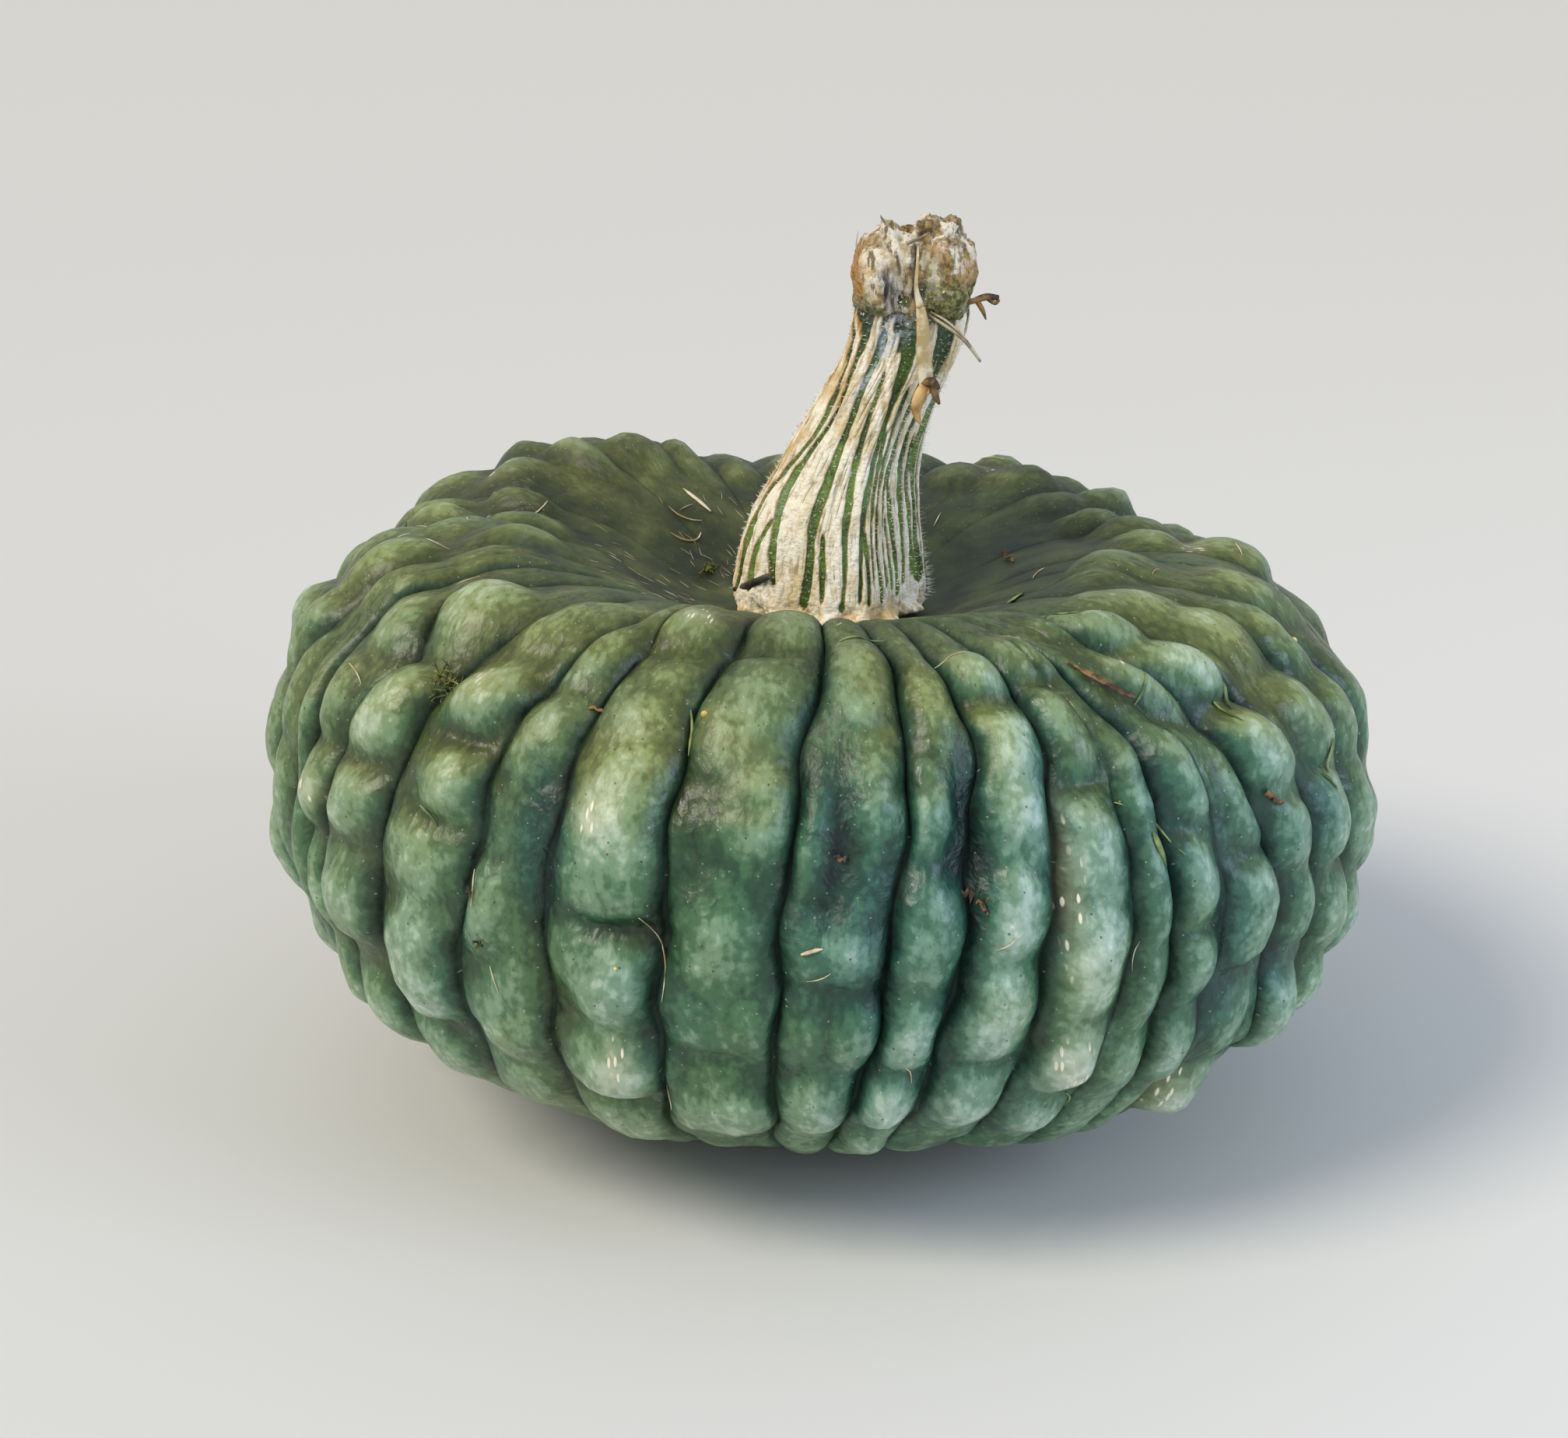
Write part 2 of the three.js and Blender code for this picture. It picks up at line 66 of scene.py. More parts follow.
# Half the width of a crease that crosses a rib, and how much its ends curve up towards the stem.
CREASE_WIDTH = 3.4
CREASE_CURVE = 0.22
# The slope of the skin is taken over this much of the way on both sides.
SLOPE_STEP = 0.004

# Half a section of the fruit through its rib crests, from the stem's seat to the blossom end: shares of
# BODY_RADIUS and SHOULDER_HEIGHT.
MERIDIAN = [
    (0, 0.866), (0.199, 0.866), (0.288, 0.896), (0.436, 0.96), (0.603, 0.996), (0.769, 0.971),
    (0.91, 0.869), (0.981, 0.732), (1, 0.598), (0.981, 0.445), (0.917, 0.302), (0.782, 0.183),
    (0.609, 0.095), (0.462, 0.037), (0.365, 0.008), (0.301, -0.003), (0.244, -0.003), (0.192, 0.01),
    (0.103, 0.034), (0, 0.043),
]

# A place on the fruit is an azimuth, in degrees from the front towards +X, and a way: the share of the
# meridian's length from the stem (0) to the blossom end (1). Each front groove gives the way where it begins,
# then its azimuth at even steps between the two ways of KNOTS.
KNOTS = (0.2, 0.68)
FRONT_GROOVES = [
    (0.08, -70, -71, -73, -75, -76, -77, -78),
    (0.33, -63, -65, -67.5, -67.5, -68, -69, -70),
    (0.08, -59, -62, -64.5, -64, -63.5, -64, -65),
    (0.08, -50, -55, -53, -57.6, -59, -57, -58),
    (0.08, -36, -39, -45, -47.2, -49.5, -49, -50.5),
    (0.08, -24, -27.5, -33.2, -34.7, -37.2, -38.5, -40),
    (0.27, -19, -22.5, -24.9, -26.7, -27.1, -27.5, -29),
    (0.08, -12, -12.2, -14.5, -15.1, -15.8, -16.7, -17.8),
    (0.08, -1, -0.4, -2.5, -3.8, -4.8, -5.3, -6.2),
    (0.08, 6, 7.4, 8.1, 6.5, 4.9, 2.9, 0.4),
    (0.08, 11, 13.2, 14.8, 13.2, 11.5, 9.3, 7.5),
    (0.08, 17, 19.7, 22.2, 21.2, 20, 18.5, 17.3),
    (0.37, 20, 24, 27.5, 29.4, 28.6, 26.8, 27),
    (0.08, 22, 26.5, 31.6, 33.7, 34.2, 33.8, 34),
    (0.33, 25, 30.5, 36.5, 40.2, 39.8, 39, 38.2),
    (0.08, 28, 34, 42, 46.8, 49.2, 49, 48.2),
    (0.08, 36, 42.8, 50.5, 54.9, 56.8, 58, 58),
    (0.08, 50, 59, 62.8, 64.7, 66, 67, 68),
    (0.08, 64, 67, 73, 73.8, 75.2, 76, 77),
    (0.08, 80, 79.5, 81.5, 83, 84, 85, 86),
]
BACK_GROOVES = 18
# The slight grooves among the front ones, by their number, with their share of a usual depth.
SLIGHT_GROOVES = {1: 0.6, 6: 0.75, 12: 0.5, 14: 0.35}

# The lumps of the front half: azimuth, way in hundredths, half width, reach towards the stem, reach towards
# the blossom end, and height. A short lower reach makes a blunt toe, and a height below 0 is a dent.
FRONT_LUMPS = [
    (-77, 23, 16, 14, 12, 4), (-79, 32, 14, 14, 14, 4), (-72, 41, 9, 14, 14, 4), (-73, 50, 12, 16, 16, 4),
    (-66, 25, 12, 13, 13, 3), (-67, 31, 10, 12, 11, 3.5), (-66, 41, 7, 12, 14, 4),
    (-66, 52, 8, 14, 16, 3.5), (-58, 33, 13, 11, 11, 4), (-60.5, 40, 10, 12, 10, 4),
    (-60.5, 46, 10, 11, 11, 4), (-61.5, 53, 9, 12, 12, 4), (-60, 60, 9, 12, 12, 4),
    (-50, 30, 15, 13, 13, 7), (-51.5, 39.5, 14, 15, 12, 5.5), (-53, 45.5, 12, 10, 9, 5),
    (-54, 52.5, 14, 14, 10, 6), (-53, 60, 12, 14, 14, 4), (-35, 28.5, 12, 15, 14, 3.5),
    (-38.5, 36, 12, 10, 10, 5.5), (-39, 41.8, 10.5, 9.5, 9.5, 6), (-41, 46.5, 15, 10, 12, 4),
    (-42.7, 55, 15, 22, 15, 7.5), (-45, 62, 13, 12, 14, 4), (-28, 31, 10, 14, 14, 3.5),
    (-30, 37.5, 11, 12, 12, 3.5), (-34, 49.5, 8.5, 14, 12, 3.5), (-35.8, 55.5, 7, 9, 9, 4),
    (-31.8, 56.5, 13, 16, 11, 6), (-34, 63, 13, 12, 14, 3.5), (-19.5, 26.5, 13, 15, 12, 5),
    (-20.5, 34, 13, 14, 16, 3), (-20.3, 43, 16, 21, 19, 7.5), (-24, 50.5, 8, 9, 9, 3),
    (-19.5, 52, 12, 13, 13, 6.5), (-21, 58.5, 14.5, 14, 8, 7), (-23, 65, 15, 14, 16, 4),
    (-6, 25, 13, 16, 13, 4), (-8.5, 33.5, 16, 16, 18, 4), (-7, 41, 11, 12, 11, 4),
    (-10.5, 48.5, 13, 15, 15, 3.5), (-6.5, 54.5, 10, 12, 9, 4), (-13, 54, 8, 12, 9, 3),
    (-8.5, 61.5, 12, 11, 12, 4.5), (-14, 62, 6, 11, 11, 3), (3, 31, 11, 16, 14, 3),
    (4.5, 39.5, 7, 15, 13, 3.5), (-1.8, 42, 5, 13, 12, 3), (0.5, 43.5, 4, 26, 22, -3.5),
    (1, 48.5, 12, 9, 12, 4), (2.4, 54.5, 8, 9, 10, 4), (-2.8, 54.5, 8, 10, 10, 3.5),
    (-0.5, 60.5, 11, 12, 13, 4), (11, 32, 8, 18, 16, 3), (8.8, 40, 8, 12, 10, 4),
    (8.8, 48, 9.5, 15, 15, 5.5), (7.6, 54.5, 8, 12, 12, 4), (5.4, 60, 8, 12, 9, 7),
    (12.5, 41, 5, 20, 16, -4), (5, 66, 8, 12, 12, 3), (17.5, 31, 10, 9, 7, 5.5),
    (18.5, 36, 11, 12, 16, 4.5), (18.8, 41, 9.5, 12, 12, 4), (17.5, 46.5, 10, 11, 12, 5),
    (16, 53, 11, 16, 16, 5), (13, 60, 11, 12, 13, 4.5), (14, 44, 4, 12, 12, -2.5),
    (24.5, 29.5, 11, 9, 11, 4), (25, 35, 9, 13, 13, 4), (25.3, 43, 10.5, 12, 22, 6),
    (24.6, 50, 10.5, 22, 22, 7), (24, 57.5, 10, 14, 9, 7.5), (30.8, 39, 6, 14, 16, 4),
    (31.7, 46, 6, 16, 18, 4), (31.5, 53, 7, 14, 14, 3.5), (30, 59, 9, 12, 12, 4),
    (22.5, 63.5, 9, 9, 12, 3.5), (36.8, 39.5, 8.5, 13, 15, 6), (36.8, 46, 7.5, 14, 13, 4.5),
    (37.3, 52.5, 8, 12, 12, 3.5), (37, 58.5, 10, 13, 13, 4.5), (38.5, 33.5, 9, 12, 12, 3.5),
    (43.5, 42, 7, 15, 14, 3), (44.5, 49.5, 12, 15, 17, 5.5), (43.5, 57.5, 12, 14, 14, 4),
    (34, 27, 9, 8, 9, 4), (38.8, 28.5, 10, 9, 9, 6), (45.5, 33.2, 12, 10, 9, 6.5),
    (49.5, 39.5, 14, 12, 15, 7.5), (51.5, 45, 9, 12, 13, 5), (53, 50.5, 9, 12, 11, 4),
    (52, 59.5, 12, 17, 11, 9), (43.5, 65.5, 12, 14, 8, 10), (34, 70, 32, 24, 28, 5),
    (53, 68, 22, 22, 24, 3), (51, 26.5, 14, 13, 12, 4), (56, 31.5, 14, 13, 14, 5),
    (60.5, 39, 12, 13, 14, 5.5), (59.5, 46, 11, 14, 14, 5), (62, 53, 11, 12, 13, 5),
    (62.5, 60, 12, 13, 12, 6), (66, 34, 10, 14, 14, 4), (68.5, 40, 10, 12, 13, 5),
    (69.5, 48, 11, 14, 14, 5), (71, 56, 11, 14, 14, 5), (70, 21.5, 17, 12, 12, 6), (77, 31, 12, 14, 14, 4),
    (77, 41, 12, 14, 14, 5), (79, 51, 12, 14, 14, 5),
]

# Creases that cross a rib: azimuth, way in hundredths, half width and depth.
CREASES = [
    (-18.5, 48.6, 17, 2.6), (-20, 29.8, 13, 0.8), (-8.5, 28.8, 12, 1.3), (-8.5, 40.5, 11, 0.8),
    (-6.5, 43.3, 9, 1.1), (-10.5, 56.6, 13, 1.2), (1, 51.3, 11, 1.4), (8.5, 38.5, 9, 1.7),
    (7, 57.2, 9, 1.4), (18, 33.6, 10, 2.2), (17, 50.0, 9, 0.9), (15.5, 56.8, 10, 1.6),
    (24.8, 32.2, 10, 1.7), (25, 39.2, 10, 1.9), (24, 53.8, 10, 1.2), (36.8, 43.0, 8, 1.6),
    (37.3, 49.6, 8, 1.3), (45.5, 36.6, 12, 1.8), (44, 45.8, 11, 1.4), (44, 54.0, 11, 1.8),
    (51.5, 42.4, 10, 1.5), (52.5, 55.2, 10, 1.4), (60, 42.6, 11, 1.5), (62, 49.5, 11, 1.4),
    (-31, 34.4, 10, 1.0), (-33, 45.6, 10, 1.0), (-34, 52.6, 9, 1.2), (-38.8, 39.0, 11, 1.9),
    (-40.5, 44.4, 12, 1.6), (-42, 50.0, 13, 1.3), (-43.5, 59.0, 13, 1.6), (-51, 35.2, 13, 1.7),
    (-52.4, 42.8, 13, 1.6), (-53.5, 48.6, 13, 1.7), (-53.6, 57.0, 12, 1.3), (-60.5, 43.2, 9, 1.1),
    (-61, 49.6, 9, 1.2), (-21.5, 61.4, 13, 1.6),
]

# The shoulder isn't even all round. Each rise or dip: azimuth, way in hundredths, half width in degrees, half
# length and height.
SHOULDER = [
    (-137, 27, 17, 45, 5.0), (-103, 28, 14, 45, -6.0), (-172, 26, 15, 42, -7.0), (163, 26, 13, 40, -4.0),
    (121, 28, 17, 45, -9.0), (99, 30, 13, 45, -3.5),
]


def draw(n):
    """A fixed draw, 0 to 1, for each whole number."""
    x = math.sin(n * 127.1 + 311.7) * 43758.5453
    return x - math.floor(x)


def ease(start, end, x):
    """0 before start and 1 after end, with a smooth step between."""
    s = np.clip((np.asarray(x, float) - start) / (end - start), 0, 1)
    return s * s * (3 - 2 * s)


def through(values, at):
    """A smooth line through evenly spaced values, at a share of its length from 0 to 1."""
    values = np.asarray(values, float)
    last = len(values) - 1
    p = np.clip(np.asarray(at, float), 0, 1) * last
    i = np.minimum(np.floor(p).astype(int), last - 1)
    s = p - i
    a, b, c, d = (values[np.clip(i + step, 0, last)] for step in (-1, 0, 1, 2))
    m, n = (c - a) / 2, (d - b) / 2
    return (2 * b - 2 * c + m + n) * s**3 + (3 * c - 3 * b - 2 * m - n) * s**2 + m * s + b


def turn_from(centre, azimuth):
    """Degrees from centre to azimuth, the shorter way round."""
    return (azimuth - centre + 540) % 360 - 180


# The fruit's form

# The meridian's radii and heights at fine steps, and the length of it up to each.
STEPS = np.linspace(0, 1, 2001)
RADII = BODY_RADIUS * np.maximum(0, through([p[0] for p in MERIDIAN], STEPS))
HEIGHTS = SHOULDER_HEIGHT * through([p[1] for p in MERIDIAN], STEPS)
LENGTHS = np.concatenate([[0], np.cumsum(np.hypot(np.diff(RADII), np.diff(HEIGHTS)))])
MERIDIAN_LENGTH = LENGTHS[-1]
# The stem is seated on the flat top of the meridian, whose edge is its second point.
SEAT_WAY = MERIDIAN[1][0] * BODY_RADIUS / MERIDIAN_LENGTH
RIBS = len(FRONT_GROOVES) + BACK_GROOVES


def meridian(way):
    """Radius and height of the meridian at a way."""
    at = np.clip(way, 0, 1) * MERIDIAN_LENGTH
    return np.interp(at, LENGTHS, RADII), np.interp(at, LENGTHS, HEIGHTS)


def slope(way):
    """How the meridian heads at a way, on from the stem: its shares outwards and upwards."""
    radius_before, height_before = meridian(way - SLOPE_STEP)
    radius_after, height_after = meridian(way + SLOPE_STEP)
    outwards, upwards = radius_after - radius_before, height_after - height_before
    length = np.hypot(outwards, upwards)
    return outwards / length, upwards / length


def front_azimuth(groove, way):
    """Azimuth of a groove of the front table at a way."""
    return through(groove[1:], (np.asarray(way, float) - KNOTS[0]) / (KNOTS[1] - KNOTS[0]))


def wiggle(n, way):
    """The small way a crevice bends round the lumps beside it, in degrees."""
    slow = 0.32 * np.sin(2 * math.pi * (way * (7 + 3 * draw(n + 400)) + draw(n + 430)))
    quick = 0.17 * np.sin(2 * math.pi * (way * (15 + 6 * draw(n + 460)) + draw(n + 490)))
    return (slow + quick) * ease(0.12, 0.3, way)


def groove_azimuth(k, way):
    """Azimuth in degrees of groove k at a way, counting on past one turn."""
    n = k % RIBS
    turn = 360.0 * (k // RIBS) + wiggle(n, way)
    if n < len(FRONT_GROOVES):
        return front_azimuth(FRONT_GROOVES[n], way) + turn
    i = n - len(FRONT_GROOVES) + 1
    spread = (i + 0.36 * (draw(i) - 0.5)) / (BACK_GROOVES + 1)
    wander = 1.6 * (draw(i + 50) - 0.5)
    bends = 5 + 4 * draw(i + 100)
    start = front_azimuth(FRONT_GROOVES[-1], way)
    end = front_azimuth(FRONT_GROOVES[0], way) + 360
    return start + (end - start) * spread + wander * np.sin(bends * (way + draw(i + 150)) * 2) + turn


# Shares of a groove's depth at even steps of the way.
DEPTH_SHARES = [
    0, 0, 0.3, 0.5, 0.72, 0.9, 1, 1, 1, 1, 1, 0.95, 0.88, 0.75, 0.6, 0.42, 0.25, 0.1, 0, 0.12, 0,
]


def groove_depth(k, way):
    """Depth of groove k at a way. Each is a little deeper or shallower, and a few on the front are slight."""
    n = k % RIBS
    if n < len(FRONT_GROOVES):
        begins = FRONT_GROOVES[n][0]
    else:
        begins = 0.36 if n % 2 else 0.08
    strength = 0.85 + 0.3 * draw(n + 200)
    strength *= SLIGHT_GROOVES.get(n, 1.0)
    return RIB_DEPTH * strength * through(DEPTH_SHARES, way) * ease(begins - 0.02, begins + 0.06, way)


def rib_azimuth(k, across, way):
    """Azimuth of a share of the way across rib k, which lies between grooves k and k + 1."""
    return groove_azimuth(k, way) * (1 - across) + groove_azimuth(k + 1, way) * across


def rib_width(k, way):
    """Width of rib k at a way."""
    return np.radians(groove_azimuth(k + 1, way) - groove_azimuth(k, way)) * meridian(way)[0]


def all_lumps():
    """Each lump: its rib, its place across the rib, way, half width, reach up, reach down and height."""
    lumps = []
    for azimuth, way, half, up, down, height in FRONT_LUMPS:
        way = way / 100
        rib = 0
        while rib < len(FRONT_GROOVES) - 1 and groove_azimuth(rib + 1, way) < azimuth:
            rib += 1
        left, right = groove_azimuth(rib, way), groove_azimuth(rib + 1, way)
        lumps.append((rib, float((azimuth - left) / (right - left)), way, half, up, down, height))
    # Behind, each rib's lumps follow one another down it by a rule.
    for rib in range(len(FRONT_GROOVES), RIBS):
        way = 0.22 + 0.05 * draw(rib * 20)
        n = 0
        while way < 0.68:
            seed = rib * 20 + n
            across = 0.5 + 0.24 * (draw(seed + 1000) - 0.5)
            half = float(rib_width(rib, way)) * (0.36 + 0.14 * draw(seed + 2000))
            up, down = 10 + 8 * draw(seed + 3000), 8 + 8 * draw(seed + 4000)
            lumps.append((rib, across, way, half, up, down, 3.2 + 4 * draw(seed + 5000)))
            way += 0.055 + 0.035 * draw(seed + 6000)
            n += 1
    return lumps


LUMPS = all_lumps()


def skin(ribs, across, ways):
    """Points of the rind in millimetres on a grid: ribs and across name its columns, and ways its rows.

    With them come each point's azimuth, how far it stands off the meridian's surface, its distance from the
    nearest crevice, and how deep that crevice is.
    """
    ways = np.asarray(ways, float)[:, None]
    across = np.asarray(across, float)[None, :]
    beside = {int(k) + n for k in ribs for n in (0, 1)}
    edges = {k: (groove_azimuth(k, ways), groove_depth(k, ways)) for k in beside}
    left, right = (np.concatenate([edges[int(k) + n][0] for k in ribs], axis=1) for n in (0, 1))
    deep_left, deep_right = (np.concatenate([edges[int(k) + n][1] for k in ribs], axis=1) for n in (0, 1))
    azimuth = left * (1 - across) + right * across
    radius, height = meridian(ways)
    width = np.radians(right - left) * radius
    reach = np.minimum(GROOVE_REACH, GROOVE_REACH_SHARE * width) + 1e-6
    # The ribs are flatter over the shoulder, most of all at the back.
    at_front = ease(0.1, 0.7, np.cos(np.radians(azimuth)))
    front_share = 0.65 + 0.35 * ease(0.2, 0.42, ways)
    back_share = 0.2 + 0.8 * ease(0.3, 0.55, ways)
    broad = at_front * front_share + (1 - at_front) * back_share

    def sunk(share):
        """How far the skin is rolled over and sunk, at a share of the rib's width from a groove."""
        distance = share * width
        arched = ARCH_SHARE * np.clip(1 - 2 * share, 0, 1) ** 2
        rolled = 1 - np.sqrt(1 - np.clip(1 - distance / reach, 0, 1) ** 2)
        slit = SLIT_SHARE * np.exp(-distance / SLIT_WIDTH)
        return broad * rolled, broad * (arched + ROLL_SHARE * rolled) + np.sqrt(broad) * slit

    rolled_left, sunk_left = sunk(across)
    rolled_right, sunk_right = sunk(1 - across)
    off = -RIB_ROUNDING * (deep_left * sunk_left + deep_right * sunk_right)
    # Lumps merge where they meet, and dents add up.
    swell = np.zeros_like(off)
    dent = np.zeros_like(off)
    for rib, place, way, half, up, down, rise in LUMPS:
        below = (ways[:, 0] - way) * MERIDIAN_LENGTH
        along = below / (LUMP_SPREAD * np.where(below > 0, down, up))
        rows = np.nonzero(np.abs(along) < 1)[0]
        if not len(rows):
            continue
        rows = slice(rows[0], rows[-1] + 1)
        centre = rib_azimuth(rib, place, ways[rows])
        aside = np.radians(turn_from(centre, azimuth[rows])) * radius[rows]
        inside = 1 - along[rows, None] ** 2 - (aside / (LUMP_BREADTH * half)) ** 2
        raised = LUMP_HEIGHT * rise * np.maximum(0, inside) ** LUMP_POWER
        if rise > 0:
            swell[rows] += raised**4
        else:
            dent[rows] += raised
    swell = swell**0.25
    off = off + dent + swell * (1 - 0.6 * np.maximum(rolled_left, rolled_right))
    for centre, way, half, depth in CREASES:
        aside = turn_from(centre, azimuth) * math.pi / 180 * radius
        along = (ways - way / 100) * MERIDIAN_LENGTH + CREASE_CURVE * aside**2 / half
        off = off - depth * np.exp(-((along / CREASE_WIDTH) ** 2)) * np.maximum(0, 1 - (aside / half) ** 2)
    for centre, way, half_turn, half_length, rise in SHOULDER:
        along = (ways - way / 100) * MERIDIAN_LENGTH / half_length
        off = off + rise * np.exp(-((turn_from(centre, azimuth) / half_turn) ** 2) - along**2)
    outwards, upwards = slope(ways)
    r = np.maximum(0, radius - upwards * off)
    turn = np.radians(azimuth)
    x = r * np.sin(turn)
    tilt = SHOULDER_TILT * x * (1 - ease(0.45, 0.75, ways)) * ease(SEAT_WAY, 0.18, ways)
    z = np.maximum(0, height + outwards * off - tilt)
    points = np.stack([x, -r * np.cos(turn), z], -1) + AXIS
    distance = np.minimum(across, 1 - across) * width
    depth = np.where(across < 0.5, deep_left, deep_right) / RIB_DEPTH * broad**0.7
    return points, azimuth, off, distance, depth


# Meshes

def grid_faces(rows, columns):
    """Faces of a tube of rings, each with the same count, that close on themselves."""
    i = np.arange(rows - 1)[:, None] * columns
    j = np.arange(columns)[None, :]
    n = (j + 1) % columns
    return np.stack([i + j, i + n, i + columns + n, i + columns + j], -1).reshape(-1, 4)


def capped_faces(rows, columns):
    """Faces of such a tube with a flat cap at each end."""
    last = (rows - 1) * columns
    caps = [list(range(columns))[::-1], list(range(last, last + columns))]
    return grid_faces(rows, columns).tolist() + caps


def make_piece(name, points, faces, material, slot, replaced=(), smooth=True, **values):
    """A named mesh with its values for each point, riding the part's one body."""
    mesh = bpy.data.meshes.new(name)
    mesh.from_pydata((np.asarray(points) * MM).tolist(), [], [list(map(int, f)) for f in faces])
    mesh.validate()
    for key, array in values.items():
        layer = mesh.attributes.new(key, "FLOAT", "POINT")
        layer.data.foreach_set("value", np.asarray(array, np.float32).ravel())
    mesh.polygons.foreach_set("use_smooth", [smooth] * len(mesh.polygons))
    mesh.materials.append(material)
    mesh.update()
    piece = bpy.data.objects.new(name, mesh)
    bpy.context.scene.collection.objects.link(piece)
    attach(piece, "root")
    if replaced:
        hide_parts(*replaced)
    return piece


# Materials

def linear(hex_colour):
    """sRGB hex to linear RGBA."""
    channels = [int(hex_colour[i:i + 2], 16) / 255 for i in (1, 3, 5)]
    return tuple(c / 12.92 if c <= 0.04045 else ((c + 0.055) / 1.055) ** 2.4 for c in channels) + (1.0,)


# The commonest nodes: the kind, its settings, and the sockets that its inputs go to in turn. Eased takes a
# value from one range to another and holds it at the ends, 0 and 1 unless they are given. Mixed goes from one
# colour to the next.
KINDS = {
    "product": ("ShaderNodeMath", {"operation": "MULTIPLY"}, (0, 1)),
    "difference": ("ShaderNodeMath", {"operation": "SUBTRACT"}, (0, 1)),
    "sum": ("ShaderNodeMath", {"operation": "ADD"}, (0, 1)),
    "eased": ("ShaderNodeMapRange", {"interpolation_type": "SMOOTHSTEP"}, (0, 1, 2, 3, 4)),
    "mixed": ("ShaderNodeMix", {"data_type": "RGBA"}, (0, 6, 7)),
    "ramp": ("ShaderNodeValToRGB", {}, (0,)),
}


def add(tree, kind, inputs=(), stops=(), **settings):
    """One shader node with its settings.

    Its inputs, in turn or by socket, are values, sRGB colours or what they are linked from. Stops are the
    places of a ramp, from 0 to 1, and their sRGB colours.
    """
    name, usual, sockets = KINDS.get(kind, (kind, {}, ()))
    made = tree.nodes.new(name)
    for key, value in (usual | settings).items():
        setattr(made, key, value)
    if not isinstance(inputs, dict):
        inputs = dict(zip(sockets, inputs))
    for key, value in inputs.items():
        if isinstance(value, bpy.types.Node):
            value = next(output for output in value.outputs if output.enabled)
        if isinstance(value, bpy.types.NodeSocket):
            tree.links.new(value, made.inputs[key])
        else:
            made.inputs[key].default_value = linear(value) if isinstance(value, str) else value
    if stops:
        made.color_ramp.interpolation = "EASE"
        points = made.color_ramp.elements
        while len(points) < len(stops):
            points.new(0.5)
        for point, (at, colour) in zip(points, stops):
            point.position = at
            point.color = linear(colour)
    return made


def new_material(name):
    """An empty material and its tree of nodes."""
    material = bpy.data.materials.new(name)
    material.use_nodes = True
    tree = material.node_tree
    tree.nodes.clear()
    return material, tree


def total(tree, *values):
    """The sum of values."""
    result = values[0]
    for value in values[1:]:
        result = add(tree, "sum", (result, value))
    return result


# Noise of this scale in a metre has patches about 1 mm across.
PATCHES_1_MM = 500


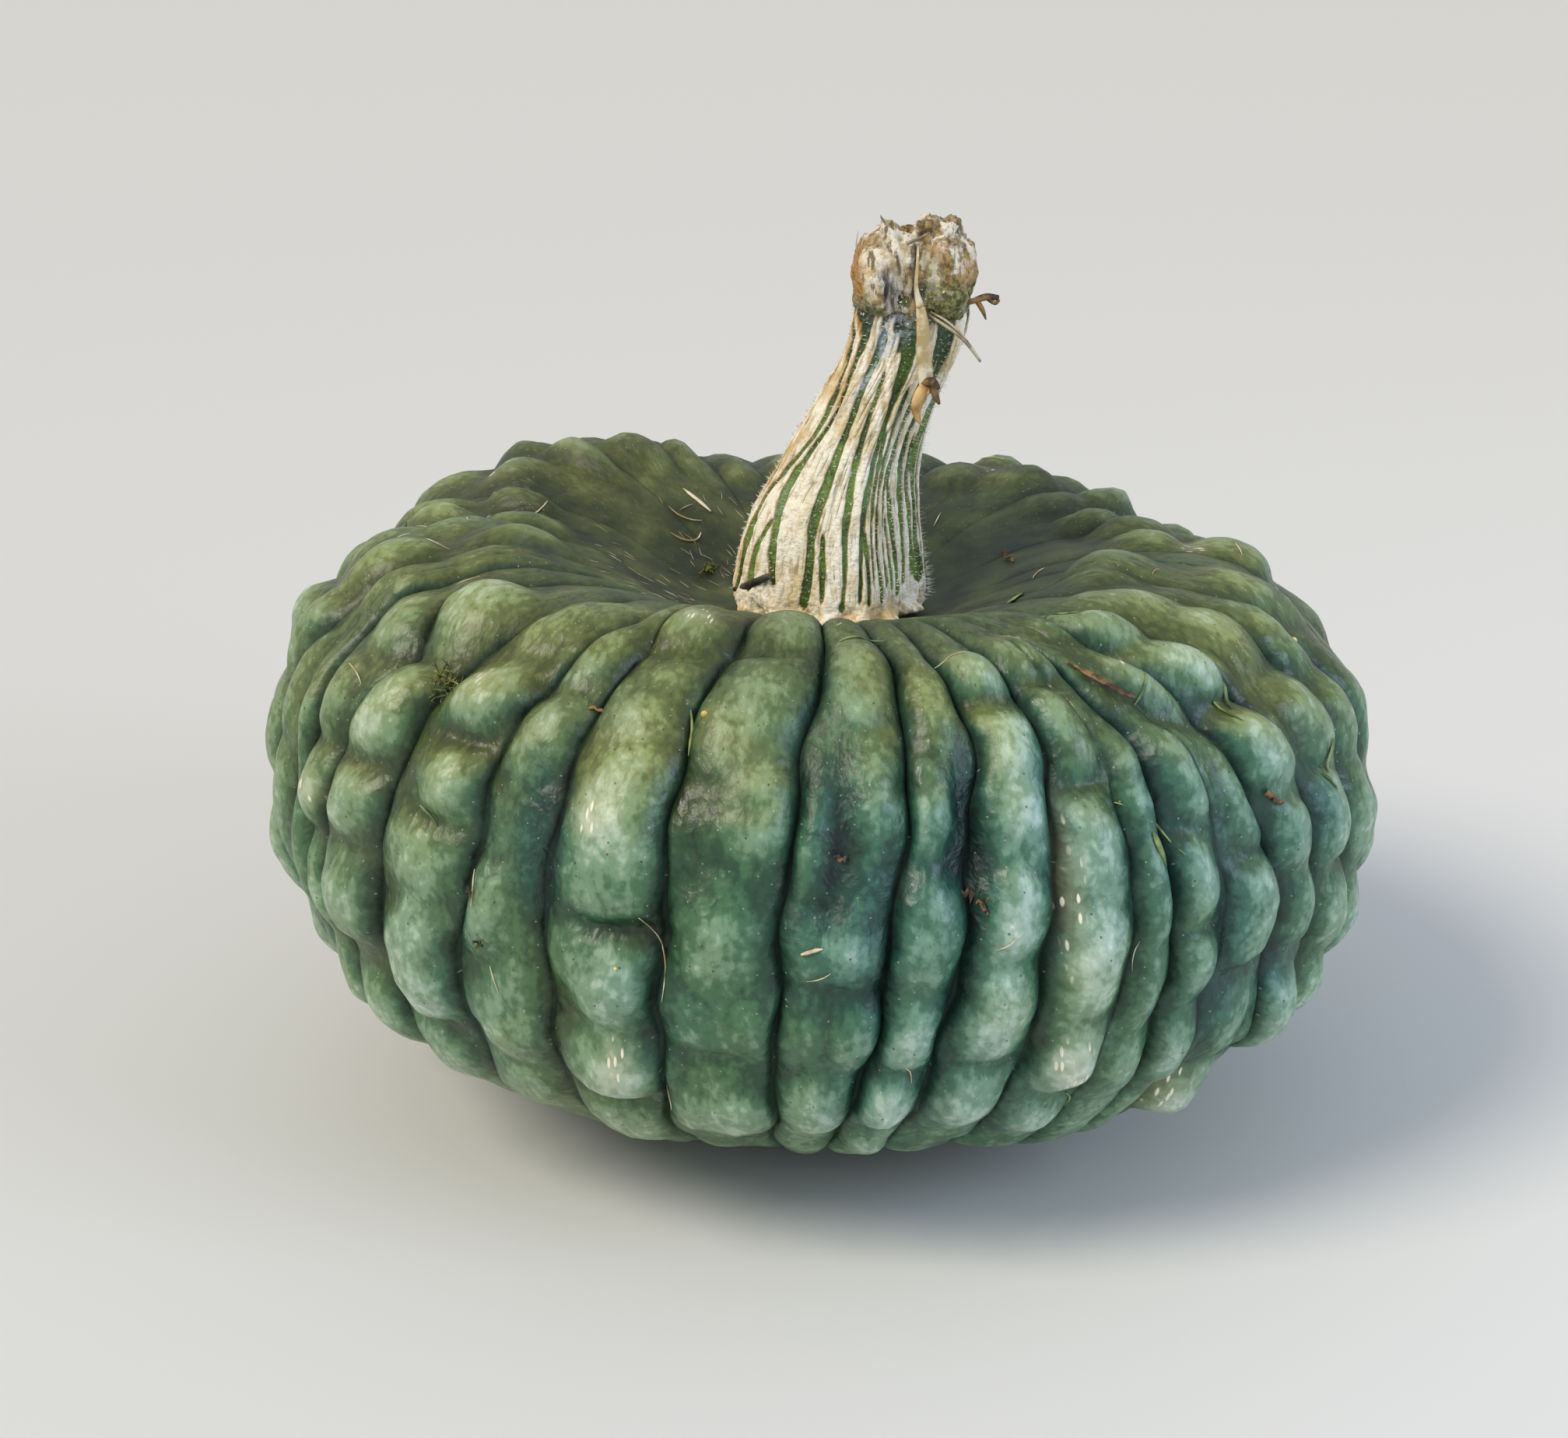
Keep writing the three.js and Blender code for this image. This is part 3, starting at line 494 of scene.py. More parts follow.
def rind_material():
    """Waxy squash rind, grown.

    The eye sees dark green with a mottle of paler patches, blue-green in the hollows, pale bloom on the lumps
    and old olive dust on what faces up, under a dull waxy gloss. Part of the colour is painted light:
    highlights on the lumps' crowns, shade in the hollows, the crevices and round the stem, a cool blue-green
    by the crevices and on the right, and a warm olive on the left and low down.
    """
    material, tree = new_material("waxy_rind")
    place_in = add(tree, "ShaderNodeTexCoord").outputs["Object"]
    place_parts = add(tree, "ShaderNodeSeparateXYZ", {0: place_in})
    sideways = place_parts.outputs["X"]
    along_rib = add(tree, "ShaderNodeUVMap", uv_map="rind")
    crevice, flank, proud, way, wrinkled, scarred, deep = (
        add(tree, "ShaderNodeAttribute", attribute_name=name).outputs["Fac"]
        for name in ("crevice", "flank", "proud", "way", "wrinkled", "scarred", "deep"))
    facing = add(tree, "ShaderNodeNewGeometry").outputs["Normal"]
    upward = add(tree, "ShaderNodeSeparateXYZ", {0: facing}).outputs["Z"]

    def patches(size, detail=3.0, rough=0.55, vector=None, offset=0.0, distortion=0.0):
        """Noise with patches about size millimetres across, on the unrolled skin if a vector is given."""
        moved = add(tree, "ShaderNodeMapping", {
            "Vector": vector or place_in, "Location": (offset, offset * 0.7, -offset)})
        return add(tree, "ShaderNodeTexNoise", {
            "Vector": moved, "Scale": PATCHES_1_MM / size, "Detail": detail, "Roughness": rough,
            "Distortion": distortion}, noise_dimensions="2D" if vector else "3D")

    def part(value, share):
        """A share of how far a value is from its middle."""
        return add(tree, "product", (add(tree, "difference", (value, 0.5)), share))

    # The mottle is drawn out a little along the ribs: coarse at 3 mm, fine at 1 mm, and in cells of 3 mm with
    # crooked edges.
    streaked = add(tree, "ShaderNodeMapping", {"Vector": along_rib, "Scale": (1.0, 0.8, 1.0)})
    broad = patches(30, 2, 0.5)
    middling = patches(11, 3, 0.6, offset=0.31)
    mottle = patches(2.7, 4, 0.6, streaked, offset=0.17)
    fine = patches(0.9, 2, 0.6, streaked, offset=0.53)
    bends = add(tree, "ShaderNodeTexNoise", {"Vector": streaked, "Scale": 160.0, "Detail": 1.0},
                noise_dimensions="2D").outputs["Color"]
    bends = add(tree, "ShaderNodeVectorMath", {0: bends, 1: (0.003, 0.003, 0.0)}, operation="MULTIPLY")
    bent = add(tree, "ShaderNodeVectorMath", {0: streaked, 1: bends}, operation="ADD")
    cells = add(tree, "ShaderNodeTexVoronoi", {"Vector": bent, "Scale": 350.0}, voronoi_dimensions="2D")
    cells = add(tree, "eased", (cells.outputs["Distance"], 0.1, 0.62))

    # One tone carries the mottle and colours three skins: green, blue-green and olive. It is pale on what
    # stands proud, partly as bloom and partly as a painted highlight, and darker in the hollows and by the
    # crevices as painted shade; painted light also makes it lighter low down and darker at the far right and
    # far left. The mottle fades out round the stem.
    away = add(tree, "eased", (way, 0.13, 0.24))
    net = add(tree, "product", (away, total(tree, part(mottle, 0.44), part(cells, -0.07), part(fine, 0.2))))
    tone = total(
        tree, add(tree, "eased", (proud, -2.6, 4.8, 0.25, 0.78)), net, part(middling, 0.44),
        add(tree, "product", (scarred, 0.14)), add(tree, "product", (flank, -0.03)),
        add(tree, "product", (deep, -0.15)), add(tree, "eased", (way, 0.5, 0.62, 0.0, 0.07)),
        add(tree, "eased", (sideways, 0.09, 0.14, 0.0, -0.05)),
        add(tree, "eased", (sideways, -0.04, -0.09, 0.0, -0.03)))
    green = add(tree, "ramp", (tone,), stops=(
        (0.05, "#132a1c"), (0.3, "#294a2d"), (0.48, "#456b45"), (0.66, "#73916f"), (0.84, "#a5b9a0"),
        (1.0, "#cedac9")))
    blue = add(tree, "ramp", (tone,), stops=(
        (0.05, "#0e2521"), (0.3, "#1e4439"), (0.48, "#386452"), (0.66, "#688d7b"), (0.84, "#99b4a8"),
        (1.0, "#c8d8ce")))
    olive = add(tree, "ramp", (tone,), stops=(
        (0.05, "#252a10"), (0.3, "#444c21"), (0.48, "#606937"), (0.66, "#87935c"), (0.84, "#aeb786"),
        (1.0, "#d6d6b3")))
    # Blue-green comes with patches, wrinkled hollows and deep stretches, and also as painted light: a cool
    # light by the crevices and over the right side, lessened low down for a painted warm bounce.
    bluish_and_painted_light = total(
        tree, add(tree, "eased", (broad, 0.44, 0.62, -0.15, 0.4)), add(tree, "product", (wrinkled, 0.6)),
        add(tree, "product", (flank, 0.45)), add(tree, "eased", (sideways, -0.06, 0.08, 0.0, 0.3)),
        add(tree, "product", (deep, 0.35)), add(tree, "eased", (way, 0.55, 0.72, 0.0, -0.4)))
    colour = add(tree, "mixed", (add(tree, "product", (bluish_and_painted_light, 1.0), use_clamp=True), green, blue))
    # Old dust makes the skin olive where it faces up and in some hollows. Olive also stands for painted warm
    # light over the left side and for a painted warm bounce low down.
    patchy = add(tree, "eased", (patches(22, 2, 0.5, offset=0.9), 0.38, 0.66))
    on_top = add(tree, "product", (
        add(tree, "eased", (upward, 0.05, 0.8, 0.0, 1.15)), add(tree, "eased", (way, 0.52, 0.34, 0.1, 1.0))))
    hollow = add(tree, "product", (
        add(tree, "eased", (proud, 1.5, -2.0)), add(tree, "eased", (sideways, 0.02, -0.08, 0.0, 0.4))))
    dust_and_warm_light = total(
        tree, on_top, add(tree, "product", (patchy, 0.15)), hollow,
        add(tree, "eased", (sideways, 0.02, -0.15, 0.0, 0.3)),
        add(tree, "eased", (way, 0.58, 0.7, 0.0, 0.25)), add(tree, "product", (wrinkled, -0.6)),
        add(tree, "product", (flank, -0.5)), add(tree, "product", (deep, -0.25)))
    worn = add(tree, "product", (
        add(tree, "eased", (patchy, 0.0, 1.0, 0.6, 0.95)), add(tree, "eased", (tone, 0.9, 0.5, 0.45, 1.0))))
    dust_and_warm_light = add(tree, "product", (dust_and_warm_light, worn), use_clamp=True)
    colour = add(tree, "mixed", (dust_and_warm_light, colour, olive))
    # Round the stem, and over the shoulder behind it, the skin is brown-green, dull and darker; the darkness
    # is partly painted shade in the sunken seat.
    behind = add(tree, "eased", (place_parts.outputs["Y"], 0.0, 0.09))
    near_stem = total(tree, way, add(tree, "product", (behind, -0.08)))
    seat_skin_and_shade = total(
        tree, add(tree, "product", (patches(5, 4, 0.65, offset=0.4), 0.75)),
        add(tree, "product", (middling, 0.75)), -0.25)
    # Painted shadow of the stem: the seat is darker towards the right.
    seat_skin_and_shade = total(
        tree, seat_skin_and_shade, add(tree, "product", (proud, 0.05)),
        add(tree, "eased", (sideways, -0.01, 0.05, 0.0, -0.16)))
    seat_skin_and_shade = add(tree, "ramp", (seat_skin_and_shade,), stops=(
        (0.3, "#171e0c"), (0.48, "#2e3518"), (0.58, "#464921"), (0.75, "#676b3b")))
    seat = add(tree, "product", (
        add(tree, "eased", (near_stem, 0.33, 0.15)), add(tree, "eased", (middling, 0.25, 0.75, 0.92, 0.6))))
    colour = add(tree, "mixed", (seat, colour, seat_skin_and_shade))
    # Painted shade: the bottom of a crevice is darkened to a very dark green.
    colour = add(tree, "mixed", (add(tree, "product", (crevice, 0.65)), colour, "#18291e"))
    # Dark pores, about 8 mm apart and 0.6 mm across.
    pores = add(tree, "ShaderNodeTexVoronoi", {"Vector": along_rib, "Scale": 125.0}, voronoi_dimensions="2D")
    pore = add(tree, "product", (
        add(tree, "eased", (pores.outputs["Distance"], 0.05, 0.025)),
        add(tree, "product", (
            add(tree, "eased", (tone, 0.42, 0.55)), add(tree, "eased", (middling, 0.45, 0.55))))))
    colour = add(tree, "mixed", (add(tree, "product", (pore, 0.75)), colour, "#232c1a"))
    # Pale specks of dust and wax, 0.5 mm across, in one in five of cells 3.5 mm wide.
    dots = add(tree, "ShaderNodeTexVoronoi", {"Vector": along_rib, "Scale": 290.0}, voronoi_dimensions="2D")
    kept = add(tree, "eased", (add(tree, "ShaderNodeSeparateColor", {0: dots.outputs["Color"]}), 0.8, 0.84))
    dot = add(tree, "product", (
        add(tree, "product", (add(tree, "eased", (dots.outputs["Distance"], 0.085, 0.04)), kept)), 0.35))
    colour = add(tree, "mixed", (dot, colour, "#c9d2bd"))
    # Pale healed scratches on the crowns of a few lumps, each about 0.7 mm by 2.5 mm.
    scratched = add(tree, "ShaderNodeMapping", {
        "Vector": along_rib, "Scale": (1.0, 0.3, 1.0), "Rotation": (0.0, 0.0, 0.25)})
    scratches = add(tree, "ShaderNodeTexVoronoi", {"Vector": scratched, "Scale": 620.0},
                    voronoi_dimensions="2D")
    chosen = add(tree, "eased", (
        add(tree, "ShaderNodeSeparateColor", {0: scratches.outputs["Color"]}), 0.5, 0.55))
    scar = add(tree, "product", (
        add(tree, "product", (add(tree, "eased", (scratches.outputs["Distance"], 0.3, 0.16)), chosen)),
        add(tree, "eased", (scarred, 0.3, 0.6))))
    colour = add(tree, "mixed", (add(tree, "product", (scarred, 0.22)), colour, "#b8a67c"))
    colour = add(tree, "mixed", (scar, colour, "#e9e2ca"))

    # Wax keeps the skin half glossy, and the skin round the stem, the crevices and fine wrinkles dull it.
    rough = total(
        tree, add(tree, "eased", (middling, 0.3, 0.7, 0.34, 0.46)), add(tree, "product", (seat, 0.2)),
        add(tree, "product", (crevice, 0.3)), add(tree, "product", (wrinkled, 0.12)))
    # Three reliefs lie over one another: dents 9 mm wide, the grain of the mottle, and fine wrinkles that are
    # strongest in the creased hollows.
    dented = add(tree, "product", (away, patches(9, 3, 0.5, offset=0.2)))
    dents = add(tree, "ShaderNodeBump", {"Strength": 0.75, "Distance": 0.0035, "Height": dented})
    grain = total(
        tree, add(tree, "product", (mottle, 0.5)), add(tree, "product", (fine, 0.3)),
        add(tree, "product", (cells, -0.25)))
    grain = add(tree, "product", (away, grain))
    grained = add(tree, "ShaderNodeBump", {
        "Strength": 0.6, "Distance": 0.0008, "Height": grain, "Normal": dents})
    wrinkles = patches(3.4, 3, 0.6, streaked, offset=0.77, distortion=0.3)
    folding = total(tree, 0.1, add(tree, "product", (flank, 0.3)), add(tree, "product", (wrinkled, 0.8)))
    folds = add(tree, "ShaderNodeBump", {
        "Strength": add(tree, "product", (folding, 1.0), use_clamp=True), "Distance": 0.002,
        "Height": wrinkles, "Normal": grained})
    shader = add(tree, "ShaderNodeBsdfPrincipled", {
        "Base Color": colour, "Roughness": rough, "Normal": folds, "IOR": 1.45, "Coat Weight": 0.05,
        "Coat Roughness": 0.25})
    add(tree, "ShaderNodeOutputMaterial", {"Surface": shader})
    return material


def stalk_material():
    """Corky squash stalk, grown and dried.

    The eye sees raised cream cork stripes, matt and edged with brown, over a smoother green skin with specks
    of wax, and a dark green collar under the cut. Painted light is part of the colour: teal highlights on the
    green skin, and a warm orange on the left of the cork.
    """
    material, tree = new_material("corky_stalk")
    where = add(tree, "ShaderNodeTexCoord").outputs["Object"]
    cork, height, tan, crack, line, wax = (
        add(tree, "ShaderNodeAttribute", attribute_name=name).outputs["Fac"]
        for name in ("cork", "height", "tan", "crack", "line", "wax"))

    def grain_of(scale, upright, detail=4.0):
        """Noise, drawn out up the stalk where upright is below 1."""
        at = add(tree, "ShaderNodeMapping", {"Vector": where, "Scale": (1.0, 1.0, upright)})
        return add(tree, "ShaderNodeTexNoise", {
            "Vector": at, "Scale": scale, "Detail": detail, "Roughness": 0.6})

    # Fibres about 1 mm wide and 7 mm long, blotches of 6 mm, papery flakes of 1 mm and specks of half that.
    fibre = grain_of(450.0, 0.16)
    blotch = grain_of(90.0, 0.6)
    paper = grain_of(520.0, 1.6)
    flake = grain_of(900.0, 1.0, 2.0)
    edge = total(tree, cork, add(tree, "product", (add(tree, "difference", (fibre, 0.5)), 0.5)))
    cream = add(tree, "mixed", (add(tree, "eased", (blotch, 0.34, 0.56)), "#dfcfa2", "#f6eed8"))
    cream = add(tree, "mixed", (
        add(tree, "product", (add(tree, "eased", (fibre, 0.48, 0.34)), 0.55)), cream, "#b09a64"))
    # Orange stains at the foot, and over the left side as painted warm light.
    stains = total(tree, add(tree, "product", (blotch, 0.6)), add(tree, "product", (fibre, 0.4)))
    stained_and_warm_lit = add(tree, "product", (tan, add(tree, "eased", (stains, 0.56, 0.44))))
    cream = add(tree, "mixed", (add(tree, "product", (stained_and_warm_lit, 0.6)), cream, "#c2974a"))
    cream = add(tree, "mixed", (
        add(tree, "product", (add(tree, "eased", (crack, 0.3, 1.0)), 0.5)), cream, "#94804f"))
    # Dark lines in the cork, more orange on the left as painted warm light.
    cream = add(tree, "mixed", (
        add(tree, "product", (add(tree, "eased", (line, 0.35, 0.95)), 0.6)), cream,
        add(tree, "mixed", (tan, "#7c6f42", "#996a22"))))
    green = add(tree, "mixed", (add(tree, "eased", (blotch, 0.4, 0.6)), "#33490f", "#648230"))
    # Painted highlights: teal patches on the green skin stand for a cool sheen.
    green = add(tree, "mixed", (
        add(tree, "product", (add(tree, "eased", (grain_of(60.0, 0.5), 0.56, 0.67)), 0.35)), green,
        "#7fa592"))
    green = add(tree, "mixed", (add(tree, "eased", (height, 0.55, 0.9)), green, "#20391a"))
    green = add(tree, "mixed", (
        add(tree, "product", (add(tree, "eased", (flake, 0.64, 0.72)), 0.75)), green, "#d3dac2"))
    colour = add(tree, "mixed", (add(tree, "eased", (edge, 0.4, 0.56)), green, cream))
    rim = add(tree, "product", (
        add(tree, "eased", (edge, 0.25, 0.45)), add(tree, "eased", (edge, 0.9, 0.55))))
    # Brown rims along the cork's edges, more orange on the left as painted warm light.
    colour = add(tree, "mixed", (
        add(tree, "product", (rim, add(tree, "eased", (tan, 0.2, 0.9, 0.6, 0.95)))), colour,
        add(tree, "mixed", (tan, "#7d6c38", "#a4701f"))))
    neck = add(tree, "mixed", (add(tree, "eased", (blotch, 0.42, 0.6)), "#222e10", "#5f5a20"))
    neck = add(tree, "mixed", (add(tree, "eased", (flake, 0.61, 0.68)), neck, "#dfe2d4"))
    colour = add(tree, "mixed", (
        add(tree, "product", (
            add(tree, "eased", (height, 0.82, 0.87)), add(tree, "eased", (cork, 0.6, 0.2)))),
        colour, neck))
    waxy = total(tree, add(tree, "product", (paper, 0.6)), add(tree, "product", (flake, 0.4)))
    waxy = add(tree, "product", (wax, add(tree, "eased", (waxy, 0.42, 0.54))))
    colour = add(tree, "mixed", (add(tree, "product", (waxy, 0.65)), colour, "#b2c2d6"))
    relief = total(
        tree, add(tree, "product", (fibre, 0.7)), add(tree, "product", (paper, 0.6)),
        add(tree, "product", (flake, 0.2)))
    bump = add(tree, "ShaderNodeBump", {"Strength": 1.0, "Distance": 0.0011, "Height": relief})
    shader = add(tree, "ShaderNodeBsdfPrincipled", {
        "Base Color": colour, "Normal": bump, "IOR": 1.45,
        "Roughness": add(tree, "eased", (edge, 0.4, 0.6, 0.3, 0.7))})
    add(tree, "ShaderNodeOutputMaterial", {"Surface": shader})
    return material


def pith_material():
    """Dried pith and cork where the vine was cut.

    The eye sees crumbly matt cream, a grey fibrous hollow, and glossier amber and olive skin at the rims.
    Painted shade darkens the hollow's brink, the seam, a small hole and the crumbled top.
    """
    material, tree = new_material("dried_pith")
    where = add(tree, "ShaderNodeTexCoord").outputs["Object"]
    pit, olive, amber, brown, dark = (
        add(tree, "ShaderNodeAttribute", attribute_name=name).outputs["Fac"]
        for name in ("pit", "olive", "amber", "brown", "dark"))

    def crumbs(scale, upright=1.0):
        """Noise, drawn out up the stem where upright is below 1."""
        at = add(tree, "ShaderNodeMapping", {"Vector": where, "Scale": (1.0, 1.0, upright)})
        return add(tree, "ShaderNodeTexNoise", {
            "Vector": at, "Scale": scale, "Detail": 4.0, "Roughness": 0.65})

    broad = crumbs(170.0)
    fibre = crumbs(520.0, 0.25)
    fine = crumbs(700.0)
    colour = add(tree, "mixed", (add(tree, "eased", (broad, 0.36, 0.54)), "#b99e6c", "#efe4cc"))
    colour = add(tree, "mixed", (
        add(tree, "product", (add(tree, "eased", (fibre, 0.48, 0.38)), 0.85)), colour, "#5f4a2a"))
    mottled = add(tree, "mixed", (add(tree, "eased", (fine, 0.42, 0.58)), "#4c3a1c", "#a0823f"))
    colour = add(tree, "mixed", (
        add(tree, "product", (brown, add(tree, "eased", (broad, 0.57, 0.49)))), colour, mottled))
    colour = add(tree, "mixed", (
        add(tree, "product", (olive, add(tree, "eased", (broad, 0.35, 0.48, 1.0, 0.8)))), colour,
        add(tree, "mixed", (add(tree, "eased", (fine, 0.42, 0.6)), "#3f4319", "#7c8348"))))
    colour = add(tree, "mixed", (
        add(tree, "product", (amber, add(tree, "eased", (fine, 0.34, 0.52, 0.55, 1.0)))), colour,
        add(tree, "mixed", (add(tree, "eased", (fine, 0.42, 0.6)), "#8a5c17", "#c08a34"))))
    colour = add(tree, "mixed", (
        add(tree, "product", (pit, 0.75)), colour,
        add(tree, "mixed", (add(tree, "eased", (fibre, 0.4, 0.6)), "#6d685e", "#c2bcae"))))
    # Painted shade in the pit's brink, the hole, the seam and the crumbled top.
    colour = add(tree, "mixed", (
        add(tree, "product", (dark, add(tree, "eased", (fibre, 0.64, 0.46)))), colour, "#24211b"))
    specks = add(tree, "product", (
        add(tree, "eased", (crumbs(1100.0), 0.62, 0.68)), add(tree, "eased", (olive, 0.4, 0.8))))
    colour = add(tree, "mixed", (specks, colour, "#dfe0d2"))
    bump = add(tree, "ShaderNodeBump", {
        "Strength": 1.0, "Distance": 0.0016,
        "Height": total(tree, add(tree, "product", (fibre, 0.6)), add(tree, "product", (fine, 0.5)))})
    shader = add(tree, "ShaderNodeBsdfPrincipled", {
        "Base Color": colour, "Normal": bump, "IOR": 1.45,
        "Roughness": add(tree, "eased", (amber, 0.0, 1.0, 0.75, 0.4))})
    add(tree, "ShaderNodeOutputMaterial", {"Surface": shader})
    return material


def dry_material(name, low, high, size, roughness=0.7):
    """Dry plant scraps: matt and fibrous, with a tone that wanders from low to high over size millimetres."""
    material, tree = new_material(name)
    where = add(tree, "ShaderNodeTexCoord").outputs["Object"]
    tone = add(tree, "ShaderNodeTexNoise", {
        "Vector": where, "Scale": PATCHES_1_MM / size, "Detail": 3.0})
    bump = add(tree, "ShaderNodeBump", {"Strength": 0.5, "Distance": 0.0004, "Height": tone})
    shader = add(tree, "ShaderNodeBsdfPrincipled", {
        "Base Color": add(tree, "mixed", (add(tree, "eased", (tone, 0.38, 0.62)), low, high)),
        "Normal": bump, "Roughness": roughness})
    add(tree, "ShaderNodeOutputMaterial", {"Surface": shader})
    return material


RIND = rind_material()
STALK = stalk_material()
PITH = pith_material()
STRAW = dry_material("dry_straw", "#b39a68", "#e6dabc", 2.5)
GRASS = dry_material("wilted_grass", "#3d5a2a", "#8a9a5a", 3.0, 0.55)
MOSS = dry_material("dry_moss", "#2f3a1a", "#7d8240", 1.5, 0.85)
HUSK = dry_material("brown_husk", "#3a2b1c", "#8a6a40", 1.5)
TIP = dry_material("amber_husk", "#9a6526", "#e0b878", 4.0)
TWIG = dry_material("dead_twig", "#221d14", "#5c5342", 2.5)
FADED = dry_material("faded_stalklet", "#7c6e52", "#bdb094", 2.0)
GUM = dry_material("dried_gum", "#c09a3c", "#ecd884", 1.0, 0.3)
HAIR = dry_material("stalk_hair", "#d9d6c8", "#f2efe6", 2.0, 0.5)


# The fruit

# Where the columns of the skin's grid stand across a rib. They crowd at its grooves.
COLUMNS_OVER_RIB = [0, 0.022, 0.065, 0.135, 0.235, 0.36, 0.5, 0.64, 0.765, 0.865, 0.935, 0.978]
ROWS = 214
# The rows are close together down to this way, and the last few are wider apart, over the blossom end.
LAST_CLOSE_WAY = 0.74
END_ROWS = 15

# Hollows where the skin is finely wrinkled: azimuth, way in hundredths, half width and half length.
WRINKLES = [
    (0.5, 41, 7, 30), (-1.5, 47, 9, 8), (3.2, 46, 6, 14), (13, 42, 5, 24), (-28, 44, 5, 16),
    (21, 38, 5, 20), (41, 52, 5, 18), (58, 46, 6, 18),
]

# Crowns and flanks of lumps that are paler and have healed scratches, in the same terms.
SCARS = [
    (-18, 26.5, 7, 4), (-52, 28, 8, 3.5), (75, 21.5, 8, 4), (92, 27, 8, 4), (-39, 35, 6, 4),
    (-22, 41.5, 5, 6), (-20, 57, 4, 7), (25.5, 27.5, 5, 3), (36, 31.5, 5, 3), (-60, 46, 5, 4),
    (40, 63.5, 8, 9), (56, 60.5, 7, 7), (23.5, 57, 6, 9), (22.3, 46, 3, 22), (118, 30, 8, 5),
    (150, 26, 7, 4), (-120, 28, 8, 4), (-95, 34, 6, 5), (-150, 33, 8, 4), (171, 41, 6, 5),
]

# Stretches where the skin is a deeper, bluer green, in the same terms.
DEEP = [
    (-8.5, 46, 16, 55), (2, 44, 18, 60), (9.5, 42, 9, 45), (-21, 47, 13, 30), (13, 41, 6, 30),
    (33, 40, 8, 40), (52, 52, 9, 30), (-27, 43, 8, 24), (40, 57, 8, 24),
]


# The bends of the small swellings come out the same each time.
noise.seed_set(38)


def swelling(p):
    """Height of the small swellings at a point of the skin.

    Pillows 15 mm and pebbles 7.5 mm wide have creases between them, over soft swellings 25 mm wide and dents
    of 10 mm and 5 mm.
    """
    bent = p + 5 * noise.noise_vector(p / 17)
    pillow = noise.voronoi(bent / 15)[0][0]
    pebble = noise.voronoi(bent / 7.5 + Vector((3, 5, 7)))[0][0]
    soft = noise.noise(p / 25)
    dent = 0.6 * noise.noise(p / 10 + Vector((7, 1, 4))) + 0.25 * noise.noise(p / 5)
    return 1.4 * soft + (0.4 - pillow**2) + 0.25 * (0.4 - pebble**2) + dent


def spread_out(values, rounds):
    """Values of the grid averaged with their neighbours, over and over."""
    for _ in range(rounds):
        around = np.roll(values, 1, 1) + np.roll(values, -1, 1)
        above = np.concatenate([values[:1], values[:-1]]) + np.concatenate([values[1:], values[-1:]])
        values = (2 * values + around + above) / 6
    return values


